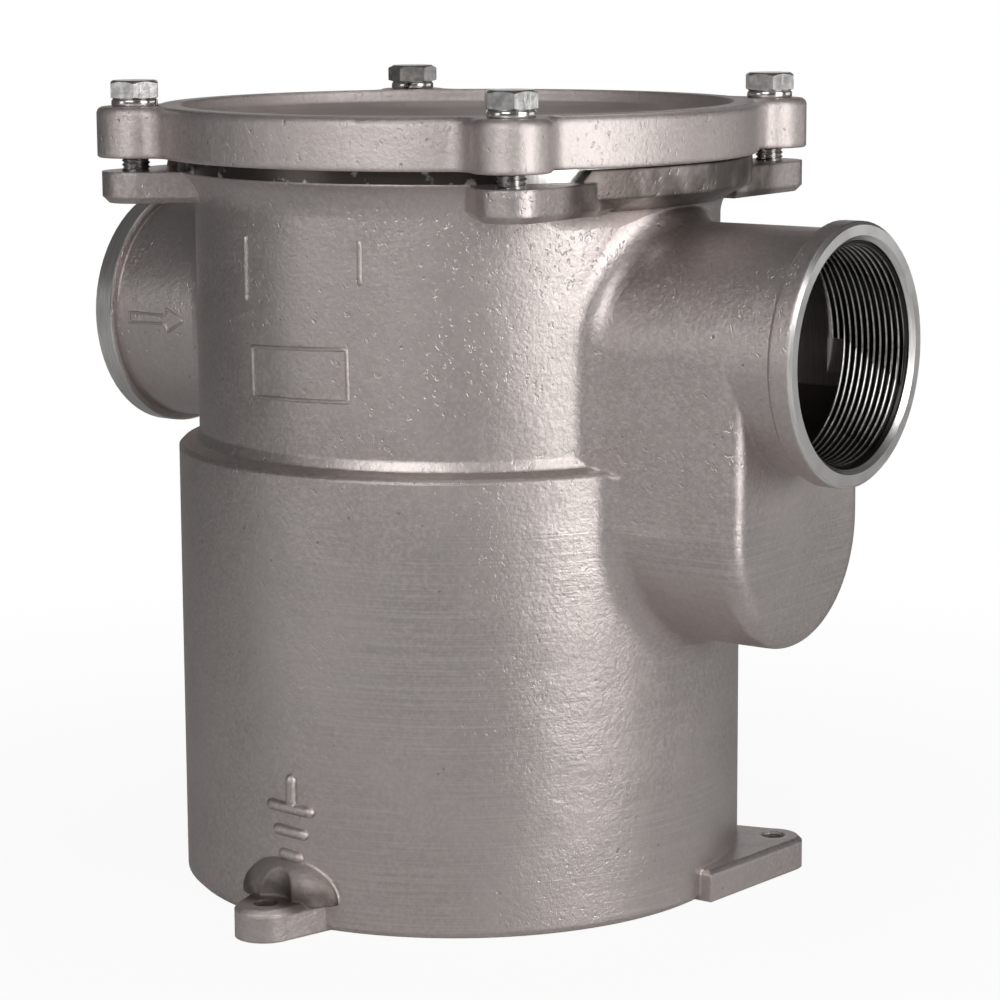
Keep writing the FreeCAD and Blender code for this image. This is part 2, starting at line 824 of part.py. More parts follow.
def make_casting():
    """The whole body casting."""
    duct = duct_outside()
    inlet = cylinder("inlet_tube", d.port_tube_radius, d.inlet_face,
                     x=-d.inlet_face, z=d.port_height, rotation=ALONG_X)
    outlet = cylinder("outlet_tube", d.port_tube_radius, d.outlet_face,
                      z=d.port_height, rotation=ALONG_X)
    drum = drum_outside(duct)
    neck = neck_outside(duct, inlet)
    outlet_shoulder = shoulder()
    inlet_shoulder = mirrored("inlet_shoulder", outlet_shoulder, FreeCAD.Vector(1, 0, 0))
    first_lug = lug()
    second_lug = mirrored("lug_back_right", first_lug, FreeCAD.Vector(0, 1, 0))
    third_lug = mirrored("lug_front_left", first_lug, FreeCAD.Vector(1, 0, 0))
    fourth_lug = mirrored("lug_back_left", second_lug, FreeCAD.Vector(1, 0, 0))
    front = foot_bevels("front_foot", front_foot())
    right = foot_bevels("right_foot", side_foot())
    left = mirrored("left_foot", right, FreeCAD.Vector(1, 0, 0))
    outside = join("casting_outside", [
        drum, neck, duct, inlet, outlet, flange_outside(), outlet_shoulder, inlet_shoulder,
        port_collar("outlet_collar", d.outlet_face, 1),
        port_collar("inlet_collar", d.inlet_face, -1),
        first_lug, second_lug, third_lug, fourth_lug,
        front, right, left, foot_boss(),
    ])
    inside = join("casting_inside", water_space() + lug_holes() + foot_holes() + [seal_groove()])
    casting = remove("body_casting", outside, inside)
    casting.Label = "body_casting"
    parts.append(casting)


def make_lid():
    """Cast lid: disc with four bolt bosses, a shallow recess on top and a spigot below."""
    body = new_body("lid")
    bottom = d.rim_top
    top = d.rim_top + d.lid_height
    disc_sketch = body_sketch(body, "lid_disc_outline", "XY_Plane", bottom)
    circle(disc_sketch, 0, 0, d.lid_radius)
    pad(body, "lid_disc", disc_sketch, d.lid_height)
    boss_sketch = body_sketch(body, "lid_boss_outline", "XY_Plane", bottom)
    at = d.bolt_circle * HALF_ROOT
    circle(boss_sketch, at, -at, d.lid_boss_radius)
    boss = pad(body, "lid_boss", boss_sketch, d.lid_height)
    bosses = polar(body, "lid_bosses", boss, as_size(4))
    middle = (bottom + d.lid_height / 2).value

    def inner_corner(edge):
        centre = edge.BoundBox.Center
        return (close(edge.BoundBox.ZLength, d.lid_height) and close(centre.z, middle)
                and close(math.hypot(centre.x, centre.y), d.lid_radius, 0.05)
                and edge.BoundBox.XLength < 0.01 and abs(centre.y) > 1.0)

    blend = dress(body, "lid_boss_blends", "Fillet", bosses, inner_corner, d.lid_boss_blend)
    upper = dress(body, "lid_top_edge", "Fillet", blend,
                  lambda edge: close(edge.BoundBox.Center.z, top)
                  and edge.BoundBox.ZLength < 0.01, d.lid_top_round)
    dress(body, "lid_bottom_edge", "Chamfer", upper,
          lambda edge: close(edge.BoundBox.Center.z, bottom)
          and edge.BoundBox.ZLength < 0.01, d.lid_bottom_bevel)
    floor = top - d.lid_recess_depth
    groove(body, "lid_recess", (0, floor), [
        (d.lid_recess_radius - d.lid_recess_bevel, floor),
        (d.lid_recess_radius, floor + d.lid_recess_bevel),
        (d.lid_recess_radius, top + d.cut_overrun),
        (0, top + d.cut_overrun),
    ])
    spigot = d.neck_bore - d.spigot_clearance
    foot = bottom - d.spigot_drop
    inner = spigot - d.spigot_wall
    revolve(body, "lid_spigot", (inner, foot), [
        (spigot - d.spigot_chamfer, foot),
        (spigot, foot + d.spigot_chamfer),
        (spigot, bottom + d.cut_overrun),
        (inner, bottom + d.cut_overrun),
    ])
    roof = floor - d.lid_plate
    groove(body, "lid_underside", (0, bottom - d.cut_overrun), [
        (inner, bottom - d.cut_overrun),
        (inner, bottom),
        (inner - d.lid_underside_slope, roof),
        (0, roof),
    ])
    hole_sketch = body_sketch(body, "lid_bolt_hole_outline", "XY_Plane", top + d.cut_overrun)
    circle(hole_sketch, at, -at, d.bolt_hole_radius)
    hole = pocket_down(body, "lid_bolt_hole", hole_sketch, d.lid_height + d.cut_overrun * 2)
    polar(body, "lid_bolt_holes", hole, as_size(4))
    parts.append(body)


def make_seal():
    """Lid O-ring, its section pressed to eight flats in its groove."""
    body = new_body("lid_o_ring")
    middle = (d.neck_bore + d.rim_radius) / 2
    half = d.seal_groove_width / 2 - d.seal_clearance
    low = d.rim_top - d.seal_groove_depth
    high = d.rim_top
    corner = d.seal_corner
    revolve(body, "lid_o_ring_ring", (middle - half + corner, low), [
        (middle + half - corner, low),
        (middle + half, low + corner),
        (middle + half, high - corner),
        (middle + half - corner, high),
        (middle - half + corner, high),
        (middle - half, high - corner),
        (middle - half, low + corner),
    ])
    parts.append(body)


def bolt_place(body, angle):
    """Put a piece drawn on the Z axis at its place on the bolt circle."""
    turned = math.radians(angle)
    x = d.bolt_circle * math.cos(turned)
    y = d.bolt_circle * math.sin(turned)
    place(body, x, y, 0, FreeCAD.Rotation(FreeCAD.Vector(0, 0, 1), angle))


def make_washer(number, angle):
    """Split spring washer under a bolt head."""
    body = new_body("spring_washer_%d" % number)
    seat = d.rim_top + d.lid_height
    top = seat + d.washer_thickness
    ring = revolve(body, "washer_ring_%d" % number, (d.washer_bore_radius, seat), [
        (d.washer_radius, seat),
        (d.washer_radius, top),
        (d.washer_bore_radius, top),
    ])
    doc.recompute()
    whole = ring.Shape.Volume
    over = d.cut_overrun
    sketch = body_sketch(body, "washer_split_outline_%d" % number, "XY_Plane", top + over)
    half = d.washer_split / 2
    outline(sketch, (d.washer_bore_radius - over, -half), [
        (d.washer_radius + over, -half),
        (d.washer_radius + over, half),
        (d.washer_bore_radius - over, half),
    ])
    slit = pocket_down(body, "washer_split_cut_%d" % number, sketch,
                       d.washer_thickness + over * 2)
    bolt_place(body, angle)
    doc.recompute()
    if slit.Shape.Volume >= whole:
        raise RuntimeError("the washer's split cut nothing")
    parts.append(body)


def make_bolt(number, angle):
    """Hexagon head set screw through the lid boss into the tapped lug."""
    body = new_body("lid_bolt_%d" % number)
    seat = d.rim_top + d.lid_height + d.washer_thickness
    top = seat + d.bolt_head_height
    head_sketch = body_sketch(body, "bolt_head_outline_%d" % number, "XY_Plane", seat)
    flat = d.bolt_head_flats / 2
    corner = d.bolt_head_flats / math.sqrt(3.0)
    outline(head_sketch, (corner, 0), [
        (corner / 2, flat),
        (-corner / 2, flat),
        (-corner, 0),
        (-corner / 2, -flat),
        (corner / 2, -flat),
    ])
    pad(body, "bolt_head_%d" % number, head_sketch, d.bolt_head_height)
    drop = d.bolt_head_chamfer
    crown = flat - d.bolt_head_inset
    over = d.cut_overrun
    groove(body, "bolt_head_bevel_%d" % number, (crown, top), [
        (corner + over, top - drop * 2),
        (corner + over, top + over),
        (crown, top + over),
    ])
    tip = seat - d.bolt_length
    revolve(body, "bolt_shank_%d" % number, (0, tip), [
        (d.bolt_radius - d.bolt_tip_chamfer, tip),
        (d.bolt_radius, tip + d.bolt_tip_chamfer),
        (d.bolt_radius, seat + over),
        (0, seat + over),
    ])
    bolt_place(body, angle)
    parts.append(body)


def ledge_height():
    """Top of the partition that carries the basket."""
    return d.step_height - d.ledge_drop


def rim_seat():
    """Underside of the basket's rim."""
    return ledge_height() + d.basket_gasket_thickness


def make_basket_gasket():
    """Flat rubber ring between the partition and the basket's rim."""
    body = new_body("basket_seat_gasket")
    outer = d.basket_rim_radius
    low = ledge_height()
    revolve(body, "basket_gasket_ring", (d.basket_gasket_inner_radius, low), [
        (outer, low),
        (outer, rim_seat()),
        (d.basket_gasket_inner_radius, rim_seat()),
    ])
    parts.append(body)


def make_basket_rim():
    """Flat ring by which the basket hangs, with a bevelled outer edge."""
    body = new_body("basket_rim")
    outer = d.basket_rim_radius
    inner = d.screen_radius + d.weld_gap
    low = rim_seat()
    high = low + d.basket_rim_thickness
    edge = d.basket_rim_bevel
    revolve(body, "basket_rim_ring", (inner, low), [
        (outer - edge, low),
        (outer, low + edge),
        (outer, high - edge),
        (outer - edge, high),
        (inner, high),
    ])
    parts.append(body)


def screen_top():
    """Top edge of the screen, just proud of the rim."""
    return rim_seat() + d.basket_rim_thickness + d.screen_lip


def prism(name, sides, radius, height, z):
    """Add an upright prism with a regular outline."""
    obj = doc.addObject("Part::Prism", name)
    bind(obj, Polygon=sides, Circumradius=radius, Height=height)
    place(obj, 0, 0, z)
    return obj


def make_basket_screen():
    """Perforated shell: the sheet is rolled in narrow panels, with staggered rows of holes."""
    height = screen_top() - d.screen_bottom
    outside = prism("screen_outside", d.screen_panels, d.screen_radius, height, d.screen_bottom)
    inside = prism("screen_inside", d.screen_panels, d.screen_radius - d.screen_sheet, height,
                   d.screen_bottom)
    shell = remove("screen_shell", outside, inside)
    step = 360.0 / d.screen_panels.value
    punches = []
    for row in range(int(d.screen_hole_rows.value)):
        z = d.screen_hole_start + d.screen_hole_pitch * row
        for number in range(int(d.screen_panels.value) // 2):
            angle = step * (2 * number + row % 2 + 0.5)
            turned = math.radians(angle)
            punch = prism("screen_punch_%d_%d" % (row + 1, number + 1), as_size(6),
                          d.screen_hole_radius, d.screen_punch_reach * 2, z)
            punch.Placement.Rotation = FreeCAD.Rotation(
                FreeCAD.Vector(0, 0, 1), FreeCAD.Vector(math.cos(turned), math.sin(turned), 0))
            start = d.screen_radius - d.screen_punch_reach
            bind_at(punch, start * math.cos(turned), start * math.sin(turned))
            punches.append(punch)
    group = doc.addObject("Part::Compound", "screen_punches")
    group.Links = punches
    screen = remove("basket_screen", shell, group)
    screen.Refine = False
    screen.Label = "basket_screen"
    parts.append(screen)


def bind_at(obj, x, y):
    """Bind an object's plan position without turning it."""
    obj.setExpression("Placement.Base.x", x.text)
    obj.setExpression("Placement.Base.y", y.text)


def make_basket_bottom():
    """Dished and perforated bottom sheet, its lip inside the screen."""
    body = new_body("basket_bottom")
    outer = d.screen_radius - d.screen_sheet - d.screen_inner_gap
    low = d.screen_bottom
    sheet_t = d.basket_bottom_sheet
    lip = low + d.basket_bottom_lip
    revolve(body, "basket_bottom_dish", (0, low), [
        (outer, low),
        (outer, lip),
        (outer - sheet_t, lip),
        (outer - sheet_t, low + sheet_t),
        (0, low + sheet_t),
    ])
    across = d.bottom_hole_radius
    half = across / 2
    rise = across * math.sqrt(0.75)
    over = d.cut_overrun
    for ring, count in ((1, 6), (2, 12)):
        x = d.bottom_hole_circle * ring
        sketch = body_sketch(body, "bottom_hole_outline_%d" % ring, "XY_Plane",
                             low + sheet_t + over)
        outline(sketch, (x + across, 0), [
            (x + half, rise),
            (x - half, rise),
            (x - across, 0),
            (x - half, -rise),
            (x + half, -rise),
        ])
        hole = pocket_down(body, "bottom_hole_%d" % ring, sketch, sheet_t + over * 2)
        polar(body, "bottom_holes_%d" % ring, hole, as_size(count))
    parts.append(body)


def make_band(name, low):
    """Reinforcing band round the outside of the screen."""
    body = new_body(name)
    inner = d.screen_radius + d.weld_gap
    outer = inner + d.band_sheet
    revolve(body, name + "_ring", (inner, low), [
        (outer, low),
        (outer, low + d.band_width),
        (inner, low + d.band_width),
    ])
    parts.append(body)


def make_seam_strap():
    """Strip that covers the screen's seam on the inside."""
    body = new_body("basket_seam_strap")
    outer = d.screen_radius - d.screen_sheet - d.screen_inner_gap
    inner = outer - d.strap_sheet
    low = d.screen_bottom + d.basket_bottom_lip + d.strap_foot_gap
    high = screen_top() - d.strap_top_drop
    sketch = body_sketch(body, "strap_outline", "XY_Plane", low)
    half = d.strap_width / 2
    back = (outer.value ** 2 - half.value ** 2) ** 0.5
    front = (inner.value ** 2 - half.value ** 2) ** 0.5
    outer_x = Size(-back, "(0 - sqrt(pow(%s; 2) - pow(%s; 2)))" % (outer.text, half.text))
    inner_x = Size(-front, "(0 - sqrt(pow(%s; 2) - pow(%s; 2)))" % (inner.text, half.text))
    outline(sketch, (outer_x, half), [
        ((outer_x, -half), (0, 0), 1),
        (inner_x, -half),
        ((inner_x, half), (0, 0), -1),
    ])
    pad(body, "strap_strip", sketch, high - low)
    parts.append(body)


def pivot_height():
    """Height of the bail's pivot: its wire just clears the screen's top edge."""
    return screen_top() + d.handle_rest_gap + d.handle_wire_radius


def make_ear(name, side):
    """Bent tab on the basket's rim that holds one end of the bail."""
    body = new_body(name)
    low = rim_seat() + d.basket_rim_thickness
    high = low + d.ear_height
    half = d.ear_width / 2
    near = d.ear_distance * float(side)
    far = (d.ear_distance + d.ear_sheet) * float(side)
    foot = (d.ear_distance + d.ear_sheet + d.ear_foot) * float(side)
    section = body_sketch(body, name + "_section", "YZ_Plane", -half)
    outline(section, (near, low), [
        (foot, low),
        (foot, low + d.ear_foot_sheet),
        (far, low + d.ear_foot_sheet),
        (far, high),
        (near, high),
    ])
    tab = pad(body, name + "_tab", section, d.ear_width)
    corners = dress(body, name + "_corners", "Fillet", tab,
                    lambda edge: close(edge.BoundBox.Center.z, high)
                    and edge.BoundBox.XLength < 0.01 and edge.BoundBox.YLength > 1.0,
                    d.ear_corner)
    doc.recompute()
    before = corners.Shape.Volume
    eye = body_sketch(body, name + "_eye_outline", "XZ_Plane")
    circle(eye, 0, pivot_height(), d.handle_wire_radius + d.handle_hole_clearance)
    cut = pocket_down(body, name + "_eye", eye, d.ear_distance + d.ear_sheet + d.cut_overrun)
    cut.Reversed = side < 0
    doc.recompute()
    if cut.Shape.Volume >= before:
        raise RuntimeError("the ear's eye cut nothing")
    parts.append(body)


def bent_path(points, bends):
    """Straight runs joined by tangent arcs, one radius for each inner corner."""
    edges = []
    here = points[0]
    for corner, following, bend in zip(points[1:-1], points[2:], bends):
        arrive = (corner - here).normalize()
        leave = (following - corner).normalize()
        turn_angle = arrive.getAngle(leave)
        trim = bend * math.tan(turn_angle / 2)
        first = corner - arrive * trim
        last = corner + leave * trim
        inward = (leave - arrive).normalize()
        centre = corner + inward * (bend / math.cos(turn_angle / 2))
        middle = centre - inward * bend
        edges.append(Part.LineSegment(here, first).toShape())
        edges.append(Part.Arc(first, middle, last).toShape())
        here = last
    edges.append(Part.LineSegment(here, points[-1]).toShape())
    return Part.Wire(edges)


def make_handle():
    """Bail of bent wire, folded flat over the rim, with an upset head outside each ear."""
    z = pivot_height().value
    outside = (d.ear_distance + d.ear_sheet + d.handle_end).value
    inside = (d.ear_distance - d.handle_shoulder).value
    leg = d.handle_leg.value
    reach = d.handle_reach.value
    grip = d.handle_grip_half.value
    plan = [(0, outside), (0, inside), (leg, inside), (reach, grip),
            (reach, -grip), (leg, -inside), (0, -inside), (0, -outside)]
    points = [FreeCAD.Vector(x, y, z) for x, y in plan]
    eye_bend = d.handle_bend.value
    corner = d.handle_corner.value
    path = bent_path(points, [eye_bend, corner, corner, corner, corner, eye_bend])
    along = FreeCAD.Vector(0, -1, 0)
    sides = int(d.handle_wire_sides.value)
    section = []
    for number in range(sides + 1):
        turned = 2 * math.pi * number / sides
        spoke = FreeCAD.Vector(math.cos(turned), 0, math.sin(turned))
        section.append(points[0] + spoke * d.handle_wire_radius.value)
    shape = path.makePipeShell([Part.makePolygon(section)], True, False)
    length = d.handle_end_length.value
    for start in (points[0], points[-1] + FreeCAD.Vector(0, length, 0)):
        head = Part.makeCylinder(d.handle_end_radius.value, length, start, along)
        shape = shape.fuse(head)
    handle = doc.addObject("Part::Feature", "basket_handle")
    handle.Shape = shape.removeSplitter()
    handle.Label = "basket_handle"
    handle.Placement = FreeCAD.Placement()
    parts.append(handle)


make_casting()
make_lid()
make_seal()
for number, angle in enumerate(BOLT_ANGLES, start=1):
    make_bolt(number, angle)
    make_washer(number, angle)
make_basket_gasket()
make_basket_rim()
make_basket_screen()
make_basket_bottom()
make_band("basket_middle_band", d.middle_band_height)
make_band("basket_lower_band", d.screen_bottom)
make_seam_strap()
make_ear("handle_ear_front", -1)
make_ear("handle_ear_back", 1)
make_handle()

doc.recompute()
for obj in doc.Objects:
    if "Invalid" in obj.State or "Error" in obj.State:
        raise RuntimeError("%s did not compute: %s" % (obj.Name, obj.State))
os.makedirs("parts", exist_ok=True)
for obj in parts:
    shape = obj.Shape
    if shape.isNull() or not shape.isValid() or len(shape.Solids) != 1:
        raise RuntimeError("%s has no valid shape" % obj.Label)
    print("%-24s solids %d volume %10.1f" % (obj.Label, len(shape.Solids), shape.Volume))
for obj in parts:
    obj.Shape.exportStep(os.path.join("parts", obj.Label + ".step"))
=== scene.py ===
import math

import bmesh
import bpy
from mathutils import Matrix, Vector


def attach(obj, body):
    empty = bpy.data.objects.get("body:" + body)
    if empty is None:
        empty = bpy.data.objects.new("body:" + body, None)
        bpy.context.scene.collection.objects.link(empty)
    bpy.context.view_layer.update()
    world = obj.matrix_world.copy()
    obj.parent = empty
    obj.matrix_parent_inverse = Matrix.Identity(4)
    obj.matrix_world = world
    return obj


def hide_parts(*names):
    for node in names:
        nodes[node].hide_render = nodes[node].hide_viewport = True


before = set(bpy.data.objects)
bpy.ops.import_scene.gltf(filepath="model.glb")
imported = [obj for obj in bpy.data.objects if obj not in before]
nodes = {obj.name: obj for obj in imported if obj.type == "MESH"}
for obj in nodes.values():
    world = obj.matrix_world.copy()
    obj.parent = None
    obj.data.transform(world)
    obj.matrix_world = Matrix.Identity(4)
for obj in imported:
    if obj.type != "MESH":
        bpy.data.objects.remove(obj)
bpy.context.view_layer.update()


# View of the strainer.
# The camera stands where the photograph was taken from, about 1.1 m away and
# a little above the lid.
view_azimuth = math.radians(-53.743)
view_distance = 1.142209
view_height = 0.327485
view_heading = math.radians(125.544)
view_pitch = math.radians(9.699)
view_roll = math.radians(-0.322)
view_lens = 116.587

forward = Vector((math.cos(view_heading) * math.cos(view_pitch),
                  math.sin(view_heading) * math.cos(view_pitch),
                  -math.sin(view_pitch)))
level = Vector((math.sin(view_heading), -math.cos(view_heading), 0.0))
upward = level.cross(forward)
across = level * math.cos(view_roll) + upward * math.sin(view_roll)
upright = upward * math.cos(view_roll) - level * math.sin(view_roll)
camera_data = bpy.data.cameras.new("camera")
camera_data.sensor_width = 36.0
camera_data.lens = view_lens
camera_data.clip_start = 0.05
camera_data.clip_end = 50.0
camera = bpy.data.objects.new("camera", camera_data)
turned = Matrix((across, upright, -forward)).transposed().to_4x4()
stand = Matrix.Translation((view_distance * math.cos(view_azimuth),
                            view_distance * math.sin(view_azimuth), view_height))
camera.matrix_world = stand @ turned
bpy.context.scene.collection.objects.link(camera)
bpy.context.scene.camera = camera
bpy.context.scene.view_settings.view_transform = "Standard"


# Studio light.
# Large soft boxes: the key to the camera's right, a broad one to its left, and weak ones
# far left, far right and overhead, with a white backdrop behind the strainer.
aim_height = 0.14


def soft_box(name, azimuth, elevation, distance, width, height, power):
    """Aim a soft rectangular lamp at the strainer's middle."""
    lamp = bpy.data.lights.new(name, "AREA")
    lamp.shape = "RECTANGLE"
    lamp.size = width
    lamp.size_y = height
    lamp.energy = power
    box = bpy.data.objects.new(name, lamp)
    turn = math.radians(azimuth)
    rise = math.radians(elevation)
    middle = Vector((0.0, 0.0, aim_height))
    place = middle + distance * Vector((math.cos(turn) * math.cos(rise),
                                        math.sin(turn) * math.cos(rise), math.sin(rise)))
    aim = (middle - place).to_track_quat("-Z", "Y")
    box.matrix_world = Matrix.Translation(place) @ aim.to_matrix().to_4x4()
    bpy.context.scene.collection.objects.link(box)


soft_box("key_light", -6.0, 16.0, 1.6, 0.80, 1.2, 13.6)
soft_box("left_light", -80.0, 30.0, 1.8, 0.9, 0.9, 11.0)
soft_box("side_light", -118.0, 8.0, 1.8, 0.6, 0.6, 1.6)
soft_box("right_light", 50.0, 8.0, 1.8, 1.2, 0.6, 2.2)
soft_box("top_light", -30.0, 72.0, 1.7, 1.0, 1.0, 2.0)

backdrop_bearing = math.radians(126.0)
backdrop_edge = 0.90
backdrop_full = 0.98
room_tint = (1.0, 0.985, 0.975, 1.0)
room_strength = 0.10

world = bpy.data.worlds.new("studio")
world.use_nodes = True
bpy.context.scene.world = world
sky = world.node_tree
sky.nodes.clear()
rays = sky.nodes.new("ShaderNodeLightPath")
bearing = sky.nodes.new("ShaderNodeTexCoord")
behind = sky.nodes.new("ShaderNodeVectorMath")
behind.operation = "DOT_PRODUCT"
behind.inputs[1].default_value = (math.cos(backdrop_bearing), math.sin(backdrop_bearing), 0.0)
paper = sky.nodes.new("ShaderNodeMapRange")
paper.interpolation_type = "SMOOTHSTEP"
paper.inputs["From Min"].default_value = backdrop_edge
paper.inputs["From Max"].default_value = backdrop_full
mirrored_paper = sky.nodes.new("ShaderNodeMath")
mirrored_paper.operation = "MULTIPLY"
seen = sky.nodes.new("ShaderNodeMath")
seen.operation = "MAXIMUM"
shown = sky.nodes.new("ShaderNodeMath")
shown.operation = "MAXIMUM"
room = sky.nodes.new("ShaderNodeBackground")
room.inputs["Color"].default_value = room_tint
room.inputs["Strength"].default_value = room_strength
backdrop = sky.nodes.new("ShaderNodeBackground")
backdrop.inputs["Color"].default_value = (1.0, 1.0, 1.0, 1.0)
backdrop.inputs["Strength"].default_value = 1.0
either = sky.nodes.new("ShaderNodeMixShader")
out = sky.nodes.new("ShaderNodeOutputWorld")
sky.links.new(bearing.outputs["Generated"], behind.inputs[0])
sky.links.new(behind.outputs["Value"], paper.inputs["Value"])
sky.links.new(paper.outputs["Result"], mirrored_paper.inputs[0])
sky.links.new(rays.outputs["Is Glossy Ray"], mirrored_paper.inputs[1])
sky.links.new(rays.outputs["Is Camera Ray"], seen.inputs[0])
sky.links.new(rays.outputs["Is Transmission Ray"], seen.inputs[1])
sky.links.new(seen.outputs[0], shown.inputs[0])
sky.links.new(mirrored_paper.outputs[0], shown.inputs[1])
sky.links.new(shown.outputs[0], either.inputs["Fac"])
sky.links.new(room.outputs[0], either.inputs[1])
sky.links.new(backdrop.outputs[0], either.inputs[2])
sky.links.new(either.outputs[0], out.inputs["Surface"])


# Floor.
# A plain white table top that fades into the backdrop and keeps only a faint shadow
# under the drum.
floor_half = 6.0
floor_drop = 0.0004
table_white = (0.70, 0.70, 0.70, 1.0)
shadow_near = 0.14
shadow_far = 0.55
shadow_glow = 0.93
floor_mesh = bpy.data.meshes.new("floor")
floor_mesh.from_pydata([(-floor_half, -floor_half, -floor_drop),
                        (floor_half, -floor_half, -floor_drop),
                        (floor_half, floor_half, -floor_drop),
                        (-floor_half, floor_half, -floor_drop)], [], [(0, 1, 2, 3)])
floor = bpy.data.objects.new("floor", floor_mesh)
bpy.context.scene.collection.objects.link(floor)
floor_material = bpy.data.materials.new("white_table")
floor_material.use_nodes = True
tree = floor_material.node_tree
tree.nodes.clear()
matte = tree.nodes.new("ShaderNodeBsdfDiffuse")
matte.inputs["Color"].default_value = table_white
glow = tree.nodes.new("ShaderNodeEmission")
glow.inputs["Strength"].default_value = 1.0
spot = tree.nodes.new("ShaderNodeTexCoord")
reach = tree.nodes.new("ShaderNodeVectorMath")
reach.operation = "LENGTH"
fade = tree.nodes.new("ShaderNodeMapRange")
fade.inputs["From Min"].default_value = shadow_near
fade.inputs["From Max"].default_value = shadow_far
fade.inputs["To Min"].default_value = shadow_glow
fade.inputs["To Max"].default_value = 1.0
rays = tree.nodes.new("ShaderNodeLightPath")
share = tree.nodes.new("ShaderNodeMath")
share.operation = "MULTIPLY"
mix = tree.nodes.new("ShaderNodeMixShader")
out = tree.nodes.new("ShaderNodeOutputMaterial")
tree.links.new(spot.outputs["Object"], reach.inputs[0])
tree.links.new(reach.outputs["Value"], fade.inputs["Value"])
tree.links.new(fade.outputs["Result"], share.inputs[0])
tree.links.new(rays.outputs["Is Camera Ray"], share.inputs[1])
tree.links.new(share.outputs[0], mix.inputs["Fac"])
tree.links.new(matte.outputs[0], mix.inputs[1])
tree.links.new(glow.outputs[0], mix.inputs[2])
tree.links.new(mix.outputs[0], out.inputs["Surface"])
floor_mesh.materials.append(floor_material)


# Body casting.
# One investment casting in stainless steel, bead-blasted to a warm satin grey, with small
# pits, slanted nicks and the level marks of a sanding belt low on the drum. The outlet's
# end, the inlet's collar, the bores under the threads and the lid's seat are turned bright.
lump_depth = 0.0006
skin_depth = 0.00016
mark_depth = 0.00009
sanded_edge = (0.148, 0.158)
drum_marks = 0.55
neck_marks = 1.35
nick_bright = (0.74, 0.69, 0.66)


def grain(tree, place, scale, detail=2.0, rough=0.5):
    """Fine random relief, with its scale in bumps per metre."""
    node = tree.nodes.new("ShaderNodeTexNoise")
    node.inputs["Scale"].default_value = scale
    node.inputs["Detail"].default_value = detail
    node.inputs["Roughness"].default_value = rough
    tree.links.new(place, node.inputs["Vector"])
    return node.outputs["Fac"]


def ramp(tree, value, low, high):
    """Soft step from 0 at low to 1 at high."""
    node = tree.nodes.new("ShaderNodeMapRange")
    node.interpolation_type = "SMOOTHSTEP"
    if low > high:
        node.inputs["From Min"].default_value = high
        node.inputs["From Max"].default_value = low
        node.inputs["To Min"].default_value = 1.0
        node.inputs["To Max"].default_value = 0.0
    else:
        node.inputs["From Min"].default_value = low
        node.inputs["From Max"].default_value = high
    tree.links.new(value, node.inputs["Value"])
    return node.outputs["Result"]


def sums(tree, kind, first, second):
    """Arithmetic between two outputs, or an output and a number."""
    node = tree.nodes.new("ShaderNodeMath")
    node.operation = kind
    for socket, value in zip(node.inputs, (first, second)):
        if isinstance(value, (int, float)):
            socket.default_value = value
        else:
            tree.links.new(value, socket)
    return node.outputs[0]


def both(tree, *shares):
    """Product of several shares."""
    whole = shares[0]
    for share in shares[1:]:
        whole = sums(tree, "MULTIPLY", whole, share)
    return whole


def stretched(tree, place, across, turn=(0.0, 0.0, 0.0)):
    """Coordinates turned, then squeezed along some axes, for marks that run one way."""
    node = tree.nodes.new("ShaderNodeMapping")
    node.vector_type = "TEXTURE"
    node.inputs["Rotation"].default_value = [math.radians(angle) for angle in turn]
    node.inputs["Scale"].default_value = [1.0 / size for size in across]
    tree.links.new(place, node.inputs["Vector"])
    return node.outputs[0]


def relief(tree, height, depth, below=None):
    """Bump of a given depth in metres, laid over another."""
    node = tree.nodes.new("ShaderNodeBump")
    node.inputs["Strength"].default_value = 1.0
    node.inputs["Distance"].default_value = depth
    tree.links.new(height, node.inputs["Height"])
    if below is not None:
        tree.links.new(below, node.inputs["Normal"])
    return node.outputs["Normal"]


def soft_edges(tree, radius):
    """Normal that rolls over each edge of the casting."""
    node = tree.nodes.new("ShaderNodeBevel")
    node.samples = 4
    node.inputs["Radius"].default_value = radius
    return node.outputs["Normal"]


def blend_colour(tree, share, first, second):
    """Mix of two colours by a share; each is an output or three numbers."""
    node = tree.nodes.new("ShaderNodeMix")
    node.data_type = "RGBA"
    tree.links.new(share, node.inputs["Factor"])
    colours = [socket for socket in node.inputs if socket.type == "RGBA"]
    for socket, value in zip(colours, (first, second)):
        if isinstance(value, tuple):
            socket.default_value = (*value, 1.0)
        else:
            tree.links.new(value, socket)
    return [socket for socket in node.outputs if socket.type == "RGBA"][0]


def blend_number(tree, share, first, second):
    """Mix of two numbers by a share."""
    node = tree.nodes.new("ShaderNodeMix")
    tree.links.new(share, node.inputs["Factor"])
    numbers = [socket for socket in node.inputs if socket.type == "VALUE"][1:3]
    for socket, value in zip(numbers, (first, second)):
        if isinstance(value, (int, float)):
            socket.default_value = value
        else:
            tree.links.new(value, socket)
    return node.outputs[0]


def metal(name):
    """Empty metal finish: its tree, its shader and the object's coordinates."""
    material = bpy.data.materials.new(name)
    material.use_nodes = True
    tree = material.node_tree
    shader = tree.nodes["Principled BSDF"]
    shader.inputs["Metallic"].default_value = 1.0
    place = tree.nodes.new("ShaderNodeTexCoord").outputs["Object"]
    return material, tree, shader, place


def hypotenuse(tree, first, second):
    """Distance from an axis."""
    squares = sums(tree, "ADD", both(tree, first, first), both(tree, second, second))
    return sums(tree, "SQRT", squares, 0.0)


def axes(tree, place):
    """The three coordinates by themselves."""
    node = tree.nodes.new("ShaderNodeSeparateXYZ")
    tree.links.new(place, node.inputs[0])
    return node.outputs[0], node.outputs[1], node.outputs[2]


